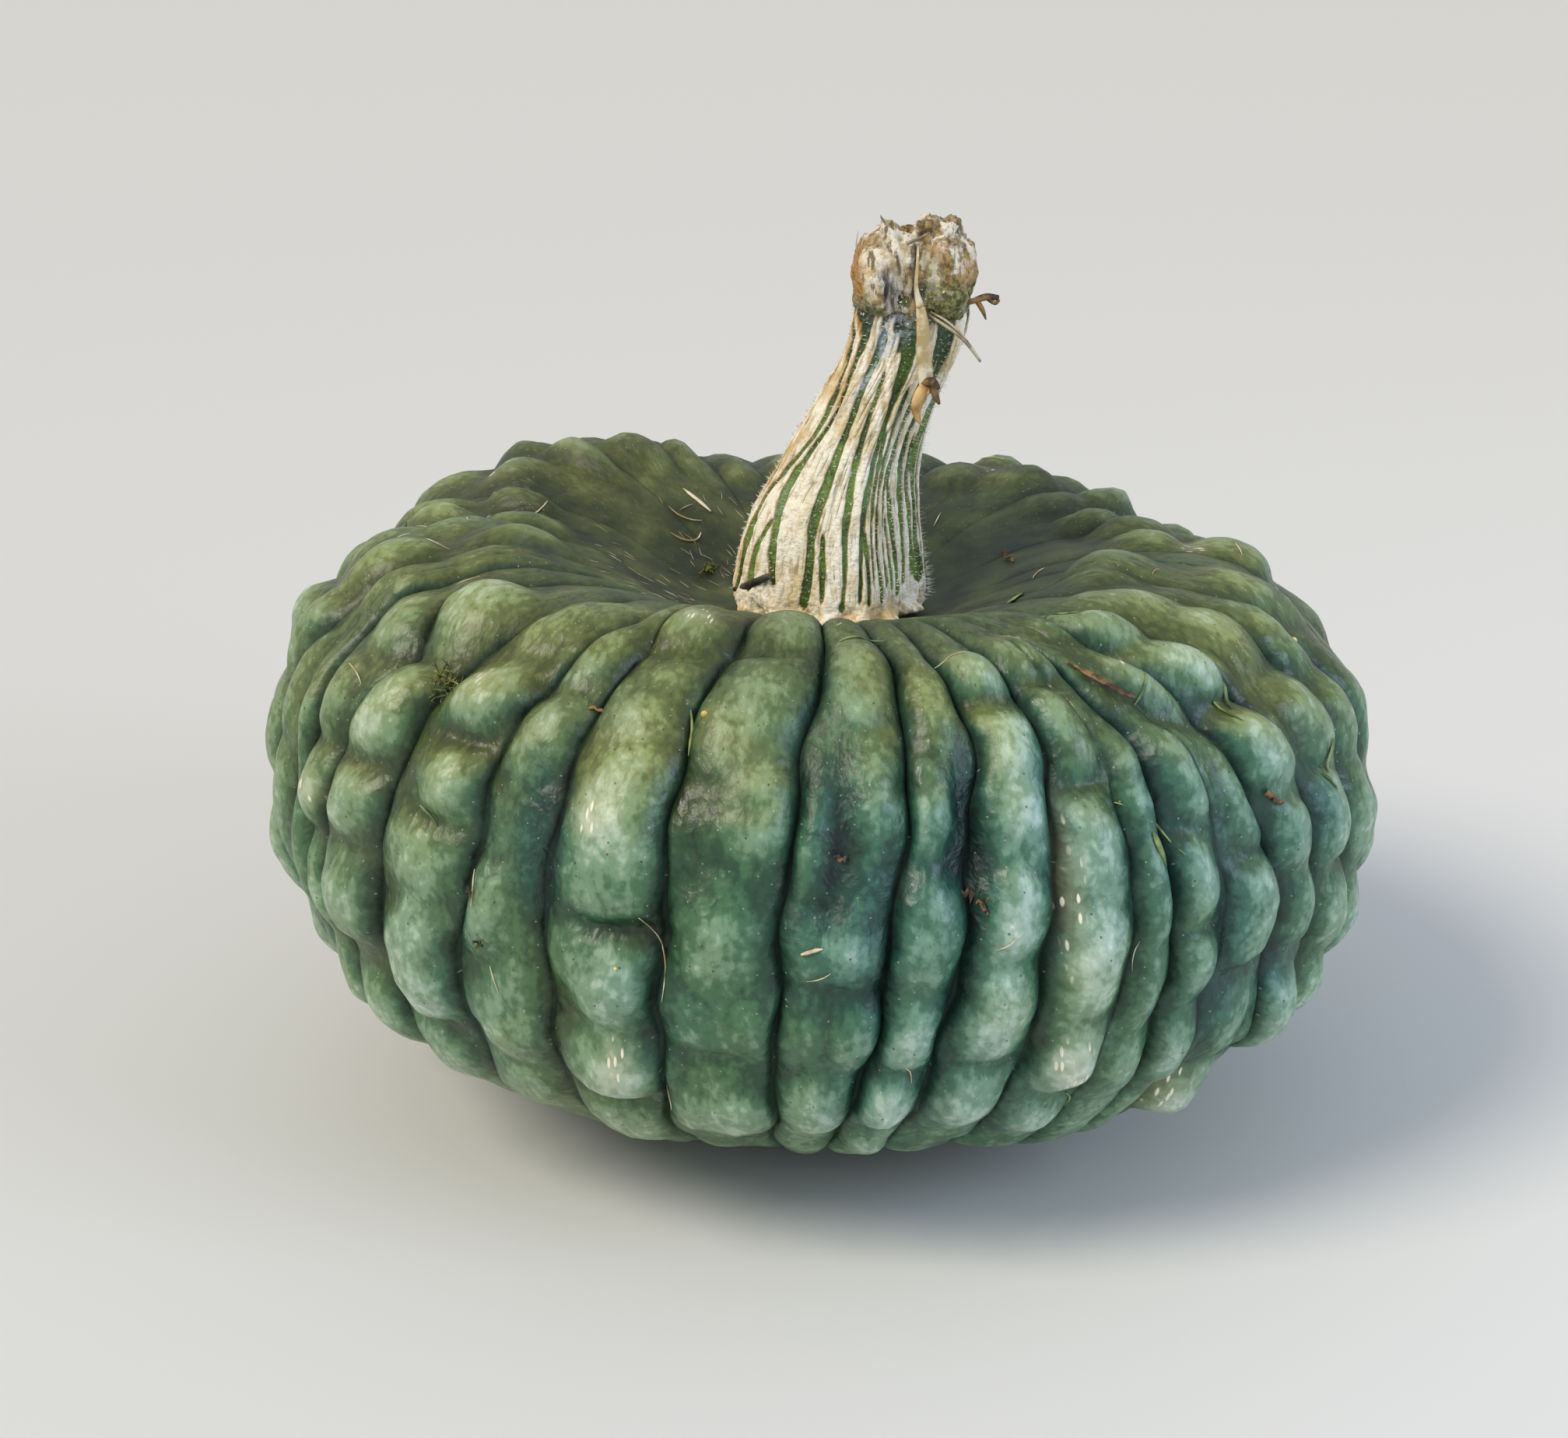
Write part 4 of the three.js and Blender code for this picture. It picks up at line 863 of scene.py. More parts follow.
def make_rind():
    """The rind as one closed skin: columns crowd at the grooves and rows follow the meridian."""
    ribs = np.repeat(np.arange(RIBS), len(COLUMNS_OVER_RIB))
    across = np.tile(COLUMNS_OVER_RIB, RIBS)
    close = np.linspace(SEAT_WAY, LAST_CLOSE_WAY, ROWS - END_ROWS - 1)
    ways = np.concatenate([[SEAT_WAY * 0.9], close, np.linspace(0.755, 0.985, END_ROWS)])
    points, azimuth, off, distance, depth = skin(ribs, across, ways)
    rows, columns = off.shape
    # The small swellings fade out where the fruit rests, where the stem is seated and in the crevices.
    calm = (ease(0.08, 0.22, ways) * (1 - ease(0.76, 0.86, ways)))[:, None]
    ripple = np.array([swelling(Vector(p)) for p in points.reshape(-1, 3)]).reshape(rows, columns)
    ripple *= calm * (1 - 0.65 * np.exp(-distance / 3))
    du = np.roll(points, -1, 1) - np.roll(points, 1, 1)
    dv = np.gradient(points, axis=0)
    out = np.cross(du, dv)
    out /= np.linalg.norm(out, axis=-1, keepdims=True) + 1e-9
    if (out[rows // 2] * (points[rows // 2] - AXIS)).sum() < 0:
        out = -out
    points = points + out * ripple[..., None]
    points[..., 2] = np.maximum(points[..., 2], 0)
    relief = off + ripple
    proud = relief - spread_out(relief, 60)
    faces = grid_faces(rows, columns).tolist()
    # A point in the middle closes each end.
    ends = np.array([points[0].mean(0), points[-1].mean(0)])
    first, last = rows * columns, rows * columns + 1
    for j in range(columns):
        n = (j + 1) % columns
        faces.append([first, n, j])
        faces.append([last, (rows - 1) * columns + j, (rows - 1) * columns + n])
    every = np.vstack([points.reshape(-1, 3), ends])
    way_of = np.concatenate([np.repeat(ways, columns), [0, 1]])
    grooved = np.clip(depth, 0, 1)

    def spots(places):
        """How near each point is to the middle of a place, the nearest counting."""
        most = np.zeros_like(off)
        for centre, way, half_width, half_length in places:
            aside = np.radians(turn_from(centre, azimuth)) * BODY_RADIUS
            down = (ways[:, None] - way / 100) * MERIDIAN_LENGTH
            most = np.maximum(most, np.exp(-((aside / half_width) ** 2) - (down / half_length) ** 2))
        return most

    values = {
        "crevice": grooved * np.exp(-((distance / 0.8) ** 1.5)), "flank": grooved * np.exp(-distance / 3.2),
        "proud": proud, "wrinkled": spots(WRINKLES), "scarred": spots(SCARS), "deep": spots(DEEP),
    }
    values = {name: np.concatenate([value.ravel(), [0, 0]]) for name, value in values.items()}
    piece = make_piece("rind", every, faces, RIND, "rind", ("fruit",), way=way_of, **values)
    # Unrolled places for streaks that follow the ribs, in metres at the fruit's widest.
    azimuths = np.concatenate([azimuth.ravel(), [0, 0]])
    layer = piece.data.uv_layers.new(name="rind")
    corner = np.empty(len(piece.data.loops), int)
    piece.data.loops.foreach_get("vertex_index", corner)
    start = np.empty(len(piece.data.polygons), int)
    piece.data.polygons.foreach_get("loop_start", start)
    # The corners of a face stay on one side of the seam.
    u = azimuths[corner]
    first_u = np.repeat(u[start], np.diff(np.append(start, len(corner))))
    u = np.where(first_u - u > 180, u + 360, np.where(u - first_u > 180, u - 360, u))
    uv = np.stack([np.radians(u) * BODY_RADIUS * MM, way_of[corner] * MERIDIAN_LENGTH * MM], -1)
    layer.data.foreach_set("uv", uv.ravel().astype(np.float32))
    return piece


# The stem

# Foot to top: height, middle x and y, half width and half depth.
STEM_SECTIONS = [
    (141.6, 2.6, 0, 26, 25.5), (145, 2.5, 0, 27.6, 27), (149, 2.4, 0, 28, 27), (154, 2.5, 0, 27.2, 26),
    (161, 2.4, 0, 25.9, 24.5), (168, 2.9, 0, 24, 22.5), (175, 4.4, 0.3, 21.9, 20.5),
    (182, 6.6, 0.8, 19.8, 18.8), (190, 9.4, 1.4, 18.4, 17.4), (198, 13, 1.9, 17.1, 16.2),
    (206, 17, 2.2, 16.2, 15.4), (213, 20.6, 2.4, 15.8, 15), (220, 23, 2.4, 15.7, 15),
    (227, 24.2, 2.2, 16, 15), (233, 24.8, 2, 15.4, 14.4), (238, 25, 2, 12, 12),
]
STEM_COLUMNS = 340
STEM_ROWS = 180

# The green furrows between the cork stripes of the stem's front: where each starts and ends as a share of
# the stem's height, its angle at even steps in degrees from the front towards +X, and its half width there.
FURROWS = [
    (0.14, 0.87, (-66, -66, -65, -47, -58, -72), (1.4, 2.2, 0.9, 0.9, 0.6, 2)),
    (0.16, 0.4, (-54, -53, -46), (1.6, 1.2, 0.3)),
    (0.18, 0.88, (-38, -42, -48, -38, -48, -46), (0.7, 1, 1.4, 0.4, 0.6, 1.3)),
    (0.11, 0.86, (-18, -15, -16, -18, -27, -27), (1.7, 1.6, 1.8, 1, 1, 1.8)),
    (0.14, 0.38, (-6, -6, -8), (0.5, 0.9, 0.5)),
    (0.11, 0.76, (5, 7, 7, 2, -5, -14), (0.8, 0.5, 1.1, 0.9, 0.6, 0.4)),
    (0.14, 0.92, (15, 18, 18, 13, 4, 1), (0.4, 0.6, 0.8, 0.7, 1.6, 1.6)),
    (0.12, 0.38, (21, 22, 20), (0.5, 0.6, 0.6)),
    (0.2, 0.62, (26, 25, 22, 17), (0.35, 0.3, 0.5, 0.4)),
    (0.12, 0.72, (31, 30, 28, 24, 18), (0.7, 0.5, 0.3, 0.5, 0.5)),
    (0.18, 0.55, (36, 35, 31), (0.4, 0.3, 0.4)),
    (0.16, 0.42, (41, 40, 36), (0.6, 0.5, 0.3)),
    (0.3, 0.75, (44, 37, 33, 29), (0.3, 0.4, 0.5, 0.4)),
    (0.13, 0.92, (47, 47, 41, 33, 35, 38, 37), (1, 1, 0.9, 0.5, 0.6, 2.2, 3)),
    (0.17, 0.92, (54, 56, 52, 46, 50, 47, 44), (0.8, 0.6, 0.8, 0.7, 0.8, 2, 3)),
    (0.2, 0.6, (62, 64, 58, 56), (0.5, 0.4, 0.5, 0.4)),
    (0.17, 0.7, (70, 72, 66, 68), (1.7, 0.7, 1, 0.6)),
    (0.18, 0.7, (78, 79, 75, 76), (0.6, 0.5, 0.6, 0.4)),
    (0.14, 0.8, (86, 88, 86, 84), (1.2, 0.8, 0.5, 1.2)),
]
BACK_FURROWS = 11

# The lobes of the foot on the front: the angle of each, its half width in degrees and how far it stands out.
FOOT_LOBES = [(-56, 10, 2.0), (-31, 9, 3.0), (-6, 9, 5.5), (16, 8, 7.0), (38, 9, 7.0), (62, 9, 5.0)]


def all_furrows():
    """The front's furrows and, round the back, more by a rule."""
    furrows = list(FURROWS)
    for n in range(BACK_FURROWS):
        middle = 98 + (276 - 98) * (n + 0.3 * draw(n + 310)) / (BACK_FURROWS - 1)
        angles = [middle + 9 * (draw(5 * n + k + 330) - 0.5) for k in range(5)]
        widths = [0.5 + 1.1 * draw(5 * n + k + 390) for k in range(5)]
        furrows.append((0.15 + 0.08 * draw(n + 450), 0.62 + 0.3 * draw(n + 470), angles, widths))
    return furrows


def stem_point(angle, up, off=0.0):
    """A point of the stem's round form, by angle and share of its height, with off standing out from it."""
    height, x, y, wide, deep = (through([s[i] for s in STEM_SECTIONS], up) for i in range(5))
    return np.stack([
        x + (wide + off) * np.cos(angle), y + (deep + off) * np.sin(angle), height + 0 * angle], -1) + AXIS


def make_stalk():
    """The stalk: cork stripes of uneven width that break, fork and merge, over furrows of green skin."""
    angle = np.linspace(0, 2 * math.pi, STEM_COLUMNS, endpoint=False)[None, :]
    up = np.linspace(0, 1, STEM_ROWS)[:, None]

    def bumps(round_scale, up_scale, seed=0.0):
        """Noise over the stalk's side, by how many patches go round it and up it."""
        size = round_scale / (2 * math.pi)
        ring = [(size * math.cos(a) + seed, size * math.sin(a)) for a in angle[0]]
        levels = up_scale * up[:, 0] + seed
        return np.array([[noise.noise(Vector((x, y, level))) for x, y in ring] for level in levels])

    drift = bumps(9, 2.2)
    uneven = bumps(30, 4, 5.0)
    ragged = bumps(110, 34, 9.0)
    flaky = bumps(60, 9, 13.0)
    lined = bumps(95, 3.5, 17.0)
    from_front = np.degrees(angle) + 90
    radius = through([section[3] for section in STEM_SECTIONS], up)
    cork = np.ones((STEM_ROWS, STEM_COLUMNS))
    for low, high, angles, halves in all_furrows():
        at = (up - low) / (high - low)
        away = np.abs(np.radians(turn_from(through(angles, at), from_front)) * radius + 0.35 * uneven)
        taper = ease(0, 0.06, up - low + 0.035) * ease(0, 0.06, high - up)
        # The furrows of the right side are wider.
        middle = np.mean(angles)
        sideward = 0.9 + 0.75 * ease(38, 62, middle) * ease(150, 110, middle)
        half = (sideward * through(halves, at) * (1 + 0.5 * flaky) + 0.3 * ragged) * taper
        cork = np.minimum(cork, ease(-0.35, 0.45, away - half + (1 - taper)))
    # The foot is all cork, and so is the skin up to a dark green collar under the cut.
    cork = np.maximum(cork, 1 - ease(0.05, 0.105, up + 0.05 * uneven + 0.03 * ragged))
    top = ease(0.805, 0.875, up + 0.12 * uneven + 0.04 * ragged + 0.03 * np.cos(np.radians(9 * from_front)))
    cork = cork * (1 - top)
    cracks = np.clip(np.abs(bumps(75, 14, 21.0)) * 9, 0, 1)
    lines = np.exp(-((lined / 0.07) ** 2)) * ease(0.08, 0.2, up)
    # The stalk has five soft edges, strongest low down, and a lobed and ragged foot.
    edged = (1.9 - 1.3 * ease(0, 0.5, up)) * np.cos(5 * angle + 0.6)
    foot = 1 - ease(0.06, 0.15, up)
    toes = 3.6 * np.abs(np.sin(5.5 * angle + 2 * drift)) - 3.4
    lobes = foot * (toes + 2.4 * uneven + 1.4 * ragged + 1.2 * flaky)
    for centre, half, out in FOOT_LOBES:
        turn = turn_from(centre, from_front)
        lobes = lobes + out * np.exp(-((turn / half) ** 2) - ((up - 0.045) / 0.038) ** 2)
    off = edged + lobes + 1.2 * (cork - 0.5) * (0.8 + 0.5 * uneven) + 0.2 * ragged + 0.4 * flaky * cork
    # It is slimmer on the right, low down.
    off = off - 2.6 * (1 - ease(0.12, 0.4, up)) * np.maximum(0, np.cos(angle)) ** 2
    off = off - 0.3 * cork * (1 - cracks) - 0.45 * cork * lines
    points = stem_point(angle, up, off)
    faces = capped_faces(STEM_ROWS, STEM_COLUMNS)
    # The cork is tanned at the foot and, as painted warm light, on the left; a band of wax lies on the front
    # under the cut.
    left = ease(15, 80, -turn_from(0, from_front)) * (np.cos(np.radians(from_front)) > -0.6)
    tan = np.clip(0.15 + 0.75 * left + 0.75 * foot, 0, 1) + 0 * up
    waxed = turn_from(60 * (up - 0.78) - 22, from_front) / (4 + 16 * ease(0.74, 0.84, up))
    wax = np.exp(-(waxed**2)) * ease(0.58, 0.7, up) * (1 - ease(0.84, 0.92, up))
    return make_piece(
        "stalk", points.reshape(-1, 3), faces, STALK, "cork_stem", ("stem",), cork=cork,
        height=np.broadcast_to(up, cork.shape), tan=tan, crack=1 - cracks, line=lines, wax=wax)


# The balls that the cut end is grown together from: the middle of each and its half sizes.
CUT_END_BALLS = [
    ((17.0, -3.5, 237.0), (9.2, 12.2, 12.4)), ((17.6, -3.5, 248.4), (4.4, 5.2, 4.6)),
    ((13.0, -3.0, 243.5), (4.0, 6.0, 5.5)), ((32.4, -2.0, 238.8), (8.8, 12.0, 14.0)),
    ((28.8, -3.5, 250.4), (4.6, 5.5, 4.6)), ((34.0, -3.0, 249.4), (4.4, 5.5, 4.6)),
    ((23.0, -4.0, 242.5), (6.0, 7.5, 7.0)), ((24.0, 8.5, 237.0), (12.0, 9.0, 12.5)),
    ((24.5, -5.0, 233.5), (11.0, 9.5, 8.5)), ((38.4, -3.0, 239.5), (3.8, 6.5, 9.0)),
    ((32.0, -8.0, 231.5), (8.2, 8.0, 6.0)), ((24.6, 0.5, 230.0), (16.0, 14.8, 6.5)),
]


def make_cut_end():
    """The two-lobed knob of cork and pith at the cut, grown together and then roughened."""
    shape = bmesh.new()
    for middle, half in CUT_END_BALLS:
        before = len(shape.verts)
        bmesh.ops.create_icosphere(shape, subdivisions=4, radius=1.0)
        shape.verts.ensure_lookup_table()
        for v in shape.verts[before:]:
            v.co = Vector([(m + h * c + a) * MM for m, h, c, a in zip(middle, half, v.co, AXIS)])
    mesh = bpy.data.meshes.new("cut_end_form")
    shape.to_mesh(mesh)
    shape.free()
    form = bpy.data.objects.new("cut_end_form", mesh)
    bpy.context.scene.collection.objects.link(form)
    joined = form.modifiers.new("grown_together", "REMESH")
    joined.mode = "VOXEL"
    joined.voxel_size = 0.75 * MM
    soft = form.modifiers.new("softened", "SMOOTH")
    soft.iterations = 6
    bpy.context.view_layer.update()
    whole = bpy.data.meshes.new_from_object(form.evaluated_get(bpy.context.evaluated_depsgraph_get()))
    points = np.array([v.co for v in whole.vertices]) / MM
    outward = np.array([v.normal for v in whole.vertices])
    faces = [list(p.vertices) for p in whole.polygons]
    bpy.data.objects.remove(form)
    x, y, z = (points - AXIS).T
    rough = np.array([
        1.15 * noise.fractal(Vector(p) / 7, 1.0, 2.1, 3) + 0.3 * noise.noise(Vector(p) / 1.8)
        for p in points])
    fibres = np.array([noise.noise(Vector((p[0] / 0.9, p[1] / 0.9, p[2] / 6))) for p in points])
    crumbled = ease(243, 250, z) * np.array([abs(noise.noise(Vector(p) / 2.6)) for p in points])
    # The front has a grey pit with a brink darkened as painted shade, a seam between the lobes and a small
    # hole.
    facing = y < -4
    across = x - 20.4 + 0.2 * (z - 233)
    pit = np.exp(-((across / 3.5) ** 4) - ((z - 233.5) / 8.0) ** 4) * facing
    brink = np.exp(-(((across + 3.6) / 1.5) ** 2) - ((z - 235) / 6.0) ** 2) * facing
    hole = np.exp(-(((x - 26.5) / 2.6) ** 2) - ((z - 234.5) / 2.8) ** 2) * facing
    seam = np.exp(-(((x - 25.0 - 0.1 * (z - 240)) / 0.9) ** 2)) * facing * ease(230, 234, z)
    relief = rough + 0.5 * fibres - 2.6 * crumbled - 2.8 * pit - 1.2 * seam - 1.5 * hole
    points = points + outward * relief[:, None]
    # The left lobe is cream with an amber rim, and the right one brown, olive below and with amber spots.
    left = 1 - ease(21, 25, x)
    olive = left * (1 - ease(228, 233, z + 1.5 * rough + 0.9 * (x - 14)))
    olive = olive + (1 - left) * (1 - ease(235, 239, z + 2 * rough)) * ease(25, 28, x)
    olive = olive + 0.7 * np.exp(-(((x - 29) / 3) ** 2) - ((z - 242) / 4) ** 2) * facing
    amber = (1 - ease(9.4, 12.0, x + 0.7 * rough)) * ease(229, 234, z) * (1 - ease(248, 251, z))
    amber = amber + 0.9 * np.exp(-(((x - 31) / 2.2) ** 2) - ((z - 245) / 2) ** 2) * facing
    amber = amber + 0.8 * np.exp(-(((x - 39.5) / 2) ** 2) - ((z - 239) / 5) ** 2)
    brown = 0.75 * (1 - left) + 0.6 * left * ease(244, 248, z) + 0.5 * (y > 4)
    # Painted shade: the pit's brink, the hole, the seam and the crumbled top are darkened.
    dark = brink + hole + 0.7 * seam + 0.6 * crumbled
    stains = {"olive": olive, "amber": amber, "brown": brown, "dark": dark}
    stains = {name: np.clip(stain, 0, 1) for name, stain in stains.items()}
    return make_piece("cut_end", points, faces, PITH, "cork_stem", ("stem",), pit=pit, **stains)


def strand(points, widths, thickness=0.6, sides=6, twist=0.0, facing=None):
    """A flattened shoot along points, with a width at each, as points and faces.

    Its thickness is a share of its width, and it lies flat against what faces towards facing.
    """
    path = np.array(points, float)
    count = (len(path) - 1) * 5 + 1
    at = np.linspace(0, 1, count)
    middle = np.stack([through(path[:, i], at) for i in range(3)], -1)
    half = through(widths, at) / 2
    tangent = np.gradient(middle, axis=0)
    tangent /= np.linalg.norm(tangent, axis=1, keepdims=True)
    side = np.cross(tangent, [0.0, -1.0, 0.05] if facing is None else list(facing))
    side /= np.linalg.norm(side, axis=1, keepdims=True)
    out = np.cross(side, tangent)
    turned = twist * at
    wide = side * np.cos(turned)[:, None] + out * np.sin(turned)[:, None]
    thin = out * np.cos(turned)[:, None] - side * np.sin(turned)[:, None]
    ring = np.linspace(0, 2 * math.pi, sides, endpoint=False)
    cosine, sine = np.cos(ring)[:, None], np.sin(ring)[:, None]
    rings = [middle[i] + half[i] * (cosine * wide[i] + thickness * sine * thin[i]) for i in range(count)]
    return np.concatenate(rings), capped_faces(count, sides)


def gather(parts):
    """Several pieces' points and faces as one."""
    points, faces, before = [], [], 0
    for p, f in parts:
        points.append(p)
        faces += [[i + before for i in face] for face in f]
        before += len(p)
    return np.concatenate(points), faces


def make_stem_scraps():
    """The dry strip, its curled tip and the tendrils, and a dark twig caught at the foot on the left."""
    twig = [
        stem_point(np.array(angle), np.array(up), 1.6) - AXIS
        for angle, up in ((-2.76, 0.135), (-2.5, 0.178), (-2.24, 0.222))
    ]
    # Each strand: its points, its widths there, its thickness as a share of that, its sides and its twist.
    scraps = (
        ("dry_strip", STRAW, (
            ([(25.6, -12, 247), (25.2, -15.4, 241), (25, -16.6, 236), (26.2, -16.8, 231)],
             [0.7, 0.9, 1.3, 2.4], 0.4, 6, 0.3),
            ([(26.2, -16.8, 231), (27, -17.2, 225), (27.4, -17.4, 218), (28, -17.2, 211), (28.2, -17.2, 207)],
             [2.4, 3.7, 4.1, 4.3, 3.4], 0.28, 8, 0.4),
        )),
        ("curled_tip", TIP, (
            ([(28, -17.6, 210), (26.4, -18.2, 207), (25.4, -18, 203.4), (26, -17.2, 200), (27.2, -16.6, 198)],
             [2.4, 3.6, 3.6, 2.4, 0.6], 0.4, 8, 1.2),
        )),
        ("thin_tendrils", FADED, (
            ([(28.5, -15.4, 228.5), (33.5, -16, 225.4), (38.5, -16, 221.6), (43, -15.6, 215.6)],
             [0.9, 1.0, 1.2, 0.7], 0.7),
            ([(29, -15.4, 229.4), (34, -16.4, 226.6), (39.4, -16.4, 221.4)], [0.6, 0.7, 0.4], 0.8),
            ([(9.6, -6, 242), (8.8, -6.4, 246), (9.4, -6.2, 250)], [0.5, 0.4, 0.15], 0.8, 4),
            ([(10.2, -6, 242), (10.4, -6.4, 246), (10.8, -6, 249)], [0.5, 0.4, 0.15], 0.8, 4),
            ([(22.5, -12, 247.5), (26, -13.4, 249.3), (28.6, -13, 250.8)], [0.9, 0.8, 0.3], 0.7, 6),
            ([(18.0, -8, 251), (15.8, -8, 253.6), (15.4, -8, 254.6)], [0.9, 0.6, 0.2], 0.8, 4),
        )),
        ("caught_twig", TWIG, ((twig, [1.5, 2.4, 1.9], 0.7),)),
        ("tendrils", HUSK, (
            ([(37, -9, 230), (41, -10, 231.4), (44.5, -9.5, 232.4), (48, -8.5, 232)],
             [1.3, 1.6, 2.0, 1.5], 0.8),
            ([(42, -9.6, 231.4), (43.6, -10, 228.8), (44.6, -10, 226.2)], [1.6, 1.3, 0.4], 0.8),
            ([(44.6, -9.4, 232.2), (47, -9.2, 230.6), (48.2, -9, 231.6)], [1.2, 1.1, 0.8], 0.8),
            ([(26.8, -17.6, 209.6), (29.4, -18, 210.4), (31.6, -17.2, 208.4)], [1.8, 3.0, 1.2], 0.6, 8),
            ([(29.6, -17.6, 210), (30.6, -17.4, 206.6), (31.8, -16.8, 204)], [1.8, 2.0, 0.8], 0.5, 8),
        )),
    )
    for name, material, strands in scraps:
        points, faces = gather([strand(*shoot) for shoot in strands])
        make_piece(name, points + AXIS, faces, material, "cork_stem", ("stem",))


def spike(root, out, length, thick):
    """A three-sided hair from root along out."""
    out = out.normalized()
    side = out.orthogonal().normalized()
    other = out.cross(side)
    base = [root + thick * (side * math.cos(a) + other * math.sin(a)) - out * 0.2 for a in (0, 2.1, 4.2)]
    points = np.array([*base, root + out * length])
    return points, [[0, 1, 3], [1, 2, 3], [2, 0, 3], [2, 1, 0]]


def make_stem_hairs():
    """White hairs: short ones, like dots, along the furrows and on the collar, and longer on the right."""
    # Each hair: its angle in degrees from the front, its share of the height, its length and its radius.
    places = []
    for low, high, angles, halves in all_furrows():
        count = int((high - low) * 70)
        for n in range(count):
            seed = int(1000 * low + angles[0] * 7 + 40 * n)
            up = low + (high - low) * (n + draw(seed)) / count
            at = (up - low) / (high - low)
            side = 1 if draw(seed + 11) > 0.5 else -1
            aside = side * 2.4 * float(through(halves, at)) * draw(seed + 17)
            places.append((float(through(angles, at)) + aside, up, 0.45 + 0.5 * draw(seed + 23), 0.2))
    for n in range(260):
        places.append((360 * draw(n + 7000), 0.86 + 0.07 * draw(n + 7300), 0.4, 0.16))
    for n in range(300):
        places.append((
            48 + 75 * draw(n + 7600), 0.08 + 0.7 * draw(n + 7900) ** 1.4, 0.8 + 2.0 * draw(n + 8200), 0.11))
    for n in range(200):
        places.append((360 * draw(n + 8500), 0.1 + 0.7 * draw(n + 8800), 0.5 + 0.9 * draw(n + 9100), 0.1))
    hairs = []
    for n, (turn, up, length, thick) in enumerate(places):
        angle = math.radians(turn - 90)
        p, a, b = (stem_point(np.array(angle + da), np.array(up + du))
                   for da, du in ((0, 0), (0.02, 0), (0, 0.01)))
        out = Vector(a - p).cross(Vector(b - p)).normalized()
        lean = Vector((draw(n + 1) - 0.5, draw(n + 2) - 0.5, draw(n + 3) - 0.3)) * 0.8
        hairs.append(spike(Vector(p), out + lean, length + 0.3, thick))
    points, faces = gather(hairs)
    make_piece("stalk_hairs", points, faces, HAIR, "cork_stem", ("stem",), smooth=False)


# Scraps on the rind

def on_rind(azimuth, way, lift=0.3):
    """A point of the finished rind, a lift above it, and which way the meridian's surface faces there."""
    outwards, upwards = slope(way)
    radius, height = meridian(way)
    turn = math.radians(azimuth)
    out = Vector((-upwards * math.sin(turn), upwards * math.cos(turn), outwards))
    start = Vector((radius * math.sin(turn), -radius * math.cos(turn), height)) + Vector(AXIS) + 18 * out
    hit = RIND_SURFACE.ray_cast(start, -out)[0]
    return hit + out * lift, out


# What lies on the rind: azimuth, way in hundredths, heading in degrees from across towards down, length,
# width, bend in degrees and thickness as a share of the width.
STRAWS = [
    (-35, 46.0, 80, 9, 0.35, 40, 1), (-2.5, 48.5, -18, 5.5, 1.0, 5, 0.5), (-17.3, 47, 82, 24, 0.35, 60, 1),
    (-137, 13.5, 30, 14, 0.6, 150, 0.7), (-146, 15.3, 78, 12, 1.3, 10, 0.3),
    (-141, 14.6, 60, 12, 0.5, 100, 0.7), (-47, 35, 10, 11, 0.4, 30, 1), (43, 68, 95, 13, 0.5, 50, 1),
    (45, 67, 70, 9, 0.4, -60, 1), (-33, 52, 60, 7, 0.3, 30, 1), (30, 50, 100, 8, 0.3, -30, 1),
    (7, 56, 75, 8, 0.35, 30, 1), (-16.5, 60, 95, 10, 0.3, 50, 1), (-60, 37, 20, 9, 0.4, 30, 1),
    (150, 30, 30, 12, 0.5, 60, 0.7), (-110, 22, 50, 14, 0.5, 90, 0.7),
]
GRASSES = [
    (49, 16.8, -12, 15, 2.6, 12, 0.18), (1.5, 27.8, -20, 14, 1.0, 55, 0.4),
    (61, 42, 118, 9, 2.0, 20, 0.2), (58.5, 43.8, 65, 6, 1.2, 20, 0.3), (28.5, 41, 48, 24, 0.8, 42, 0.6),
    (49, 35, 110, 10, 1.6, 10, 0.25), (46, 36.4, 80, 8, 1.2, 15, 0.3), (33, 26.2, 60, 13, 0.5, 170, 1),
    (38, 32.8, 130, 12, 0.8, 60, 0.5), (31.5, 43.2, 78, 9, 1.8, 12, 0.25), (-42, 43, 30, 8, 0.8, 20, 0.5),
    (25, 61, 70, 12, 0.7, 40, 0.5), (170, 20, 60, 14, 2.2, 20, 0.2), (-100, 31, 20, 12, 1.6, 20, 0.25),
    (120, 38, 80, 11, 1.5, 25, 0.25), (-14.8, 34, 85, 12, 0.8, 20, 0.5),
]
# Bits of dry husk and bark: azimuth, way in hundredths, heading, length and width.
BITS = [
    (32.4, 33, 52, 19, 2.6), (13, 45.5, 10, 5, 3.2), (14, 46.2, 60, 5, 1.4), (48, 43.5, 40, 6.5, 2.6),
    (107, 14.3, 5, 8, 2.4), (-25, 34.8, 5, 6, 1.6), (1, 42.8, 30, 3, 2.0), (-34.5, 47.2, 60, 3, 1.4),
    (-120, 10, 0, 6, 1.2), (-135, 9, 40, 4, 1.5), (160, 34, 30, 6, 2.4), (-95, 46, 60, 5, 2.4),
]
# Tufts of moss: azimuth, way in hundredths, strands and reach. Beads of gum: azimuth, way and radius.
TUFTS = [(-45, 35.5, 46, 7.5), (-33.5, 50.5, 10, 3.5), (14, 45.8, 8, 3.5), (-125, 10, 16, 5)]
BEADS = [(70.5, 35.8, 1.1), (-13, 34.5, 0.9), (-19, 50, 0.5), (118, 41, 0.9)]


